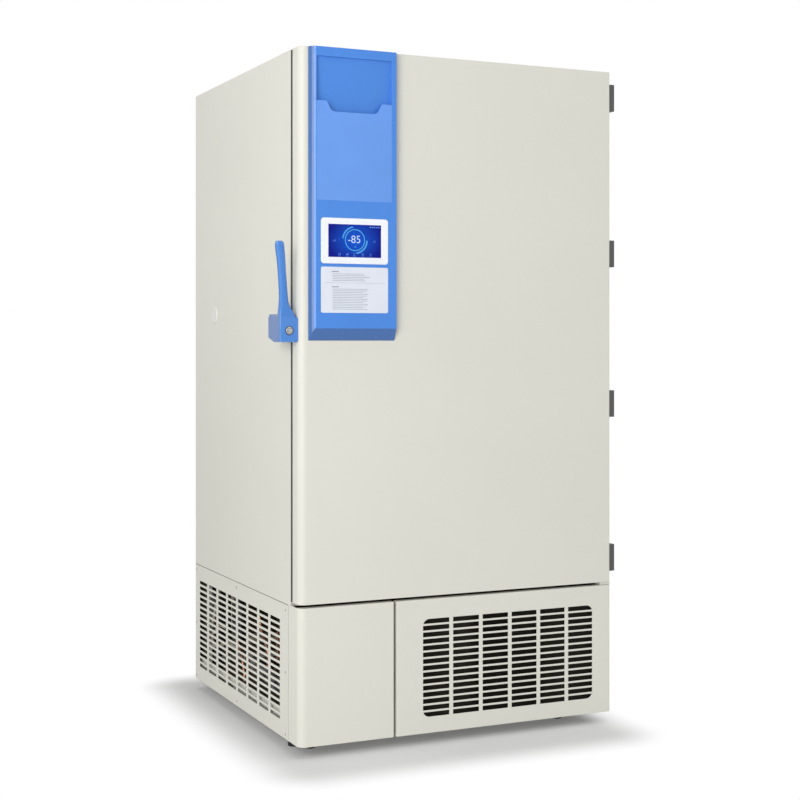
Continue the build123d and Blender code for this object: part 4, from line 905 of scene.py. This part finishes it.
def pipe(name, points, radius):
    """A round pipe along a smooth line through the points."""
    curve = bpy.data.curves.new(name, "CURVE")
    curve.dimensions = "3D"
    curve.bevel_depth = radius * MM
    curve.bevel_resolution = 4
    curve.resolution_u = 8
    curve.use_fill_caps = True
    spline = curve.splines.new("BEZIER")
    spline.bezier_points.add(len(points) - 1)
    for knot, place in zip(spline.bezier_points, points):
        knot.co = place
        knot.handle_left_type = knot.handle_right_type = "AUTO"
    source = bpy.data.objects.new(name + "_curve", curve)
    bpy.context.scene.collection.objects.link(source)
    graph = bpy.context.evaluated_depsgraph_get()
    mesh = bpy.data.meshes.new_from_object(source.evaluated_get(graph), depsgraph=graph)
    bpy.data.objects.remove(source)
    mesh.name = name
    mesh.polygons.foreach_set("use_smooth", [True] * len(mesh.polygons))
    piece = bpy.data.objects.new(name, mesh)
    bpy.context.scene.collection.objects.link(piece)
    point_outwards(piece)
    return piece


BOTTLES = (("suction_accumulator", (-463, 215, 152), (-463, 482, 176)),
           ("oil_separator", (-462, 612, 208), (-462, 612, 350)))
BOTTLE_RADIUS = 26
BOTTLE_POINTS = 40
BOTTLE_END = ((0.0, 0.3), (0.03, 0.7), (0.09, 0.94), (0.16, 1.0))


def bottle(name, start, end, radius):
    """A round-ended steel bottle between two places; its end is a share of the length and of the radius."""
    line = end - start
    side = line.orthogonal().normalized()
    other = line.normalized().cross(side)
    angles = [2 * math.pi * k / BOTTLE_POINTS for k in range(BOTTLE_POINTS)]
    rings = []
    for share, size in BOTTLE_END + tuple((1 - share, size) for share, size in reversed(BOTTLE_END)):
        middle = start + line * share
        reach = radius * MM * size
        rings.append([middle + (side * math.cos(a) + other * math.sin(a)) * reach for a in angles])
    return rings_piece(name, rings)


def machine_linings():
    """Dark felt sheets of painted shade and tan felt, partly painted shade, on the inside of the machine
    space, and the small parts at its left side.
    """
    # painted shade: the dark felt of the shade sheets
    dark = filter_weave("machine_space_shade_felt", paint(40, 36, 27), 2.0)
    # partly painted shade: the tan is kept low for the dim machine space
    tan = filter_weave("tan_felt", paint(104, 95, 76), 1.25)
    for linings, felt in ((SHADE_LININGS, dark), (TAN_LININGS, tan)):
        for name, (low, high) in linings.items():
            finished(slab(name, low, high), "cabinet", felt)
    for name, (slot, radius, places) in PIPES.items():
        points = [at(PIPE_X, y, z) for y, z in places]
        finished(pipe(name, points, radius), "cabinet", finishes[slot])
    for name, start, end in BOTTLES:
        piece = bottle(name, at(*start), at(*end), BOTTLE_RADIUS)
        finished(piece, "cabinet", finishes["black_coat"])


SEAM_LEVEL = 411
SEAM_HALF = 0.9
SEAM_ENDS = (88, 956)


def side_seam_shadows():
    """A dark strip along the top of each side grille: painted shadow of the seam between the body and the
    grille panel.
    """
    # painted shadow in the seam, given the gasket rubber finish
    painted_seam_shadow = seal_rubber("seam_shadow_strip", paint(96, 95, 88))
    for name, inner, outer in (("left_seam_shadow", -499.4, -500.3), ("right_seam_shadow", 499.4, 500.3)):
        low, high = sorted((inner, outer))
        piece = slab(name, (low, SEAM_ENDS[0], SEAM_LEVEL - SEAM_HALF),
                     (high, SEAM_ENDS[1], SEAM_LEVEL + SEAM_HALF))
        finished(piece, "cabinet", painted_seam_shadow)


# Door gasket

# Front and back of each fold, and how far in from the door's edge it stops
GASKET_FRAMES = ((52.4, 56.6, 1.0), (57.2, 62.8, 2.2), (63.4, 67.5, 1.0))
GASKET_DEPTH = 12
DOOR_EDGES = (-500, 500, 423, 1955)


def gasket_folds():
    """The bellows of the gasket: three folds round the door, near its edge, in a darker rubber that carries
    painted shade of the door gap.
    """
    # painted shade: the folds' rubber is darker than the gasket's own, for the shade in the door gap
    rubber = seal_rubber("gasket_folds", paint(66, 65, 60))
    left, right, low, high = DOOR_EDGES
    for number, (front, back, inset) in enumerate(GASKET_FRAMES, 1):
        inner = GASKET_DEPTH + inset
        rings = []
        for edge, depth in ((inset, front), (inset, back), (inner, back), (inner, front)):
            rings.append([at(left + edge, depth, low + edge), at(right - edge, depth, low + edge),
                          at(right - edge, depth, high - edge), at(left + edge, depth, high - edge)])
        rings.append(rings[0])
        piece = rings_piece(f"gasket_fold_{number}", rings, closed_ends=False, smooth=False)
        finished(piece, "outer_door", rubber)


# Screws

SCREW_RADIUS = 3.6
SCREW_HEIGHT = 1.4
SIDE_SCREW_ROWS = (46, 220.5, 394)
SIDE_SCREW_COLUMNS = (108, 537, 948)
REAR_FACE = 958
REAR_SCREW_COLUMNS = (-470, -157, 157, 470)
REAR_SCREW_ROWS = (46, 394)


def screw_tree(finish):
    """A tree that sets a low round head on each point, turned to face the way given."""
    tree = bpy.data.node_groups.new("screw_heads", "GeometryNodeTree")
    tree.interface.new_socket("Geometry", in_out="INPUT", socket_type="NodeSocketGeometry")
    for name, kind in (("Head Radius", "NodeSocketFloat"), ("Head Height", "NodeSocketFloat"),
                       ("Facing", "NodeSocketVector")):
        tree.interface.new_socket(name, in_out="INPUT", socket_type=kind)
    tree.interface.new_socket("Geometry", in_out="OUTPUT", socket_type="NodeSocketGeometry")
    inlet = tree.nodes.new("NodeGroupInput")
    outlet = tree.nodes.new("NodeGroupOutput")
    points = tree.nodes.new("GeometryNodeMeshToPoints")
    head = tree.nodes.new("GeometryNodeMeshCylinder")
    head.inputs["Vertices"].default_value = 20
    spread = tree.nodes.new("GeometryNodeInstanceOnPoints")
    real = tree.nodes.new("GeometryNodeRealizeInstances")
    coat = tree.nodes.new("GeometryNodeSetMaterial")
    coat.inputs["Material"].default_value = finish
    link = tree.links.new
    link(inlet.outputs["Geometry"], points.inputs["Mesh"])
    link(inlet.outputs["Head Radius"], head.inputs["Radius"])
    link(inlet.outputs["Head Height"], head.inputs["Depth"])
    link(points.outputs["Points"], spread.inputs["Points"])
    link(head.outputs["Mesh"], spread.inputs["Instance"])
    link(inlet.outputs["Facing"], spread.inputs["Rotation"])
    link(spread.outputs["Instances"], real.inputs["Geometry"])
    link(real.outputs["Geometry"], coat.inputs["Geometry"])
    link(coat.outputs["Geometry"], outlet.inputs["Geometry"])
    return tree


def screws(name, places, facing, tree):
    """One piece that holds all the screws of a panel."""
    piece = mesh_piece(name, places, [])
    heads = piece.modifiers.new("heads", "NODES")
    heads.node_group = tree
    values = {"Head Radius": SCREW_RADIUS * MM, "Head Height": SCREW_HEIGHT * MM, "Facing": facing}
    for item in tree.interface.items_tree:
        if item.item_type == "SOCKET" and item.in_out == "INPUT" and item.name in values:
            heads[item.identifier] = values[item.name]
    finished(piece, "cabinet", None)


def panel_screws():
    """The screws of the side grilles and of the rear cover."""
    tree = screw_tree(finishes["bare_steel"])
    across = (0.0, math.radians(90), 0.0)
    for name, x in (("left_grille_screws", -500), ("right_grille_screws", 500)):
        places = [at(x, y, z) for y in SIDE_SCREW_COLUMNS for z in SIDE_SCREW_ROWS
                  if not (y == SIDE_SCREW_COLUMNS[1] and z == SIDE_SCREW_ROWS[1])]
        screws(name, places, across, tree)
    rear = [at(x, REAR_FACE, z) for x in REAR_SCREW_COLUMNS for z in REAR_SCREW_ROWS]
    screws("rear_cover_screws", rear, (math.radians(90), 0.0, 0.0), tree)


def make_everything():
    """All finishes and pieces, in the order in which they are named here."""
    dress_cad_nodes()
    display_marks()
    card_rules()
    lever_handle()
    lock_shade_rings()
    gasket_folds()
    machine_linings()
    side_seam_shadows()
    panel_screws()


set_camera()
make_everything()
set_floor()
set_lamps()
set_world()
scene = bpy.context.scene
scene.view_settings.view_transform = "Standard"
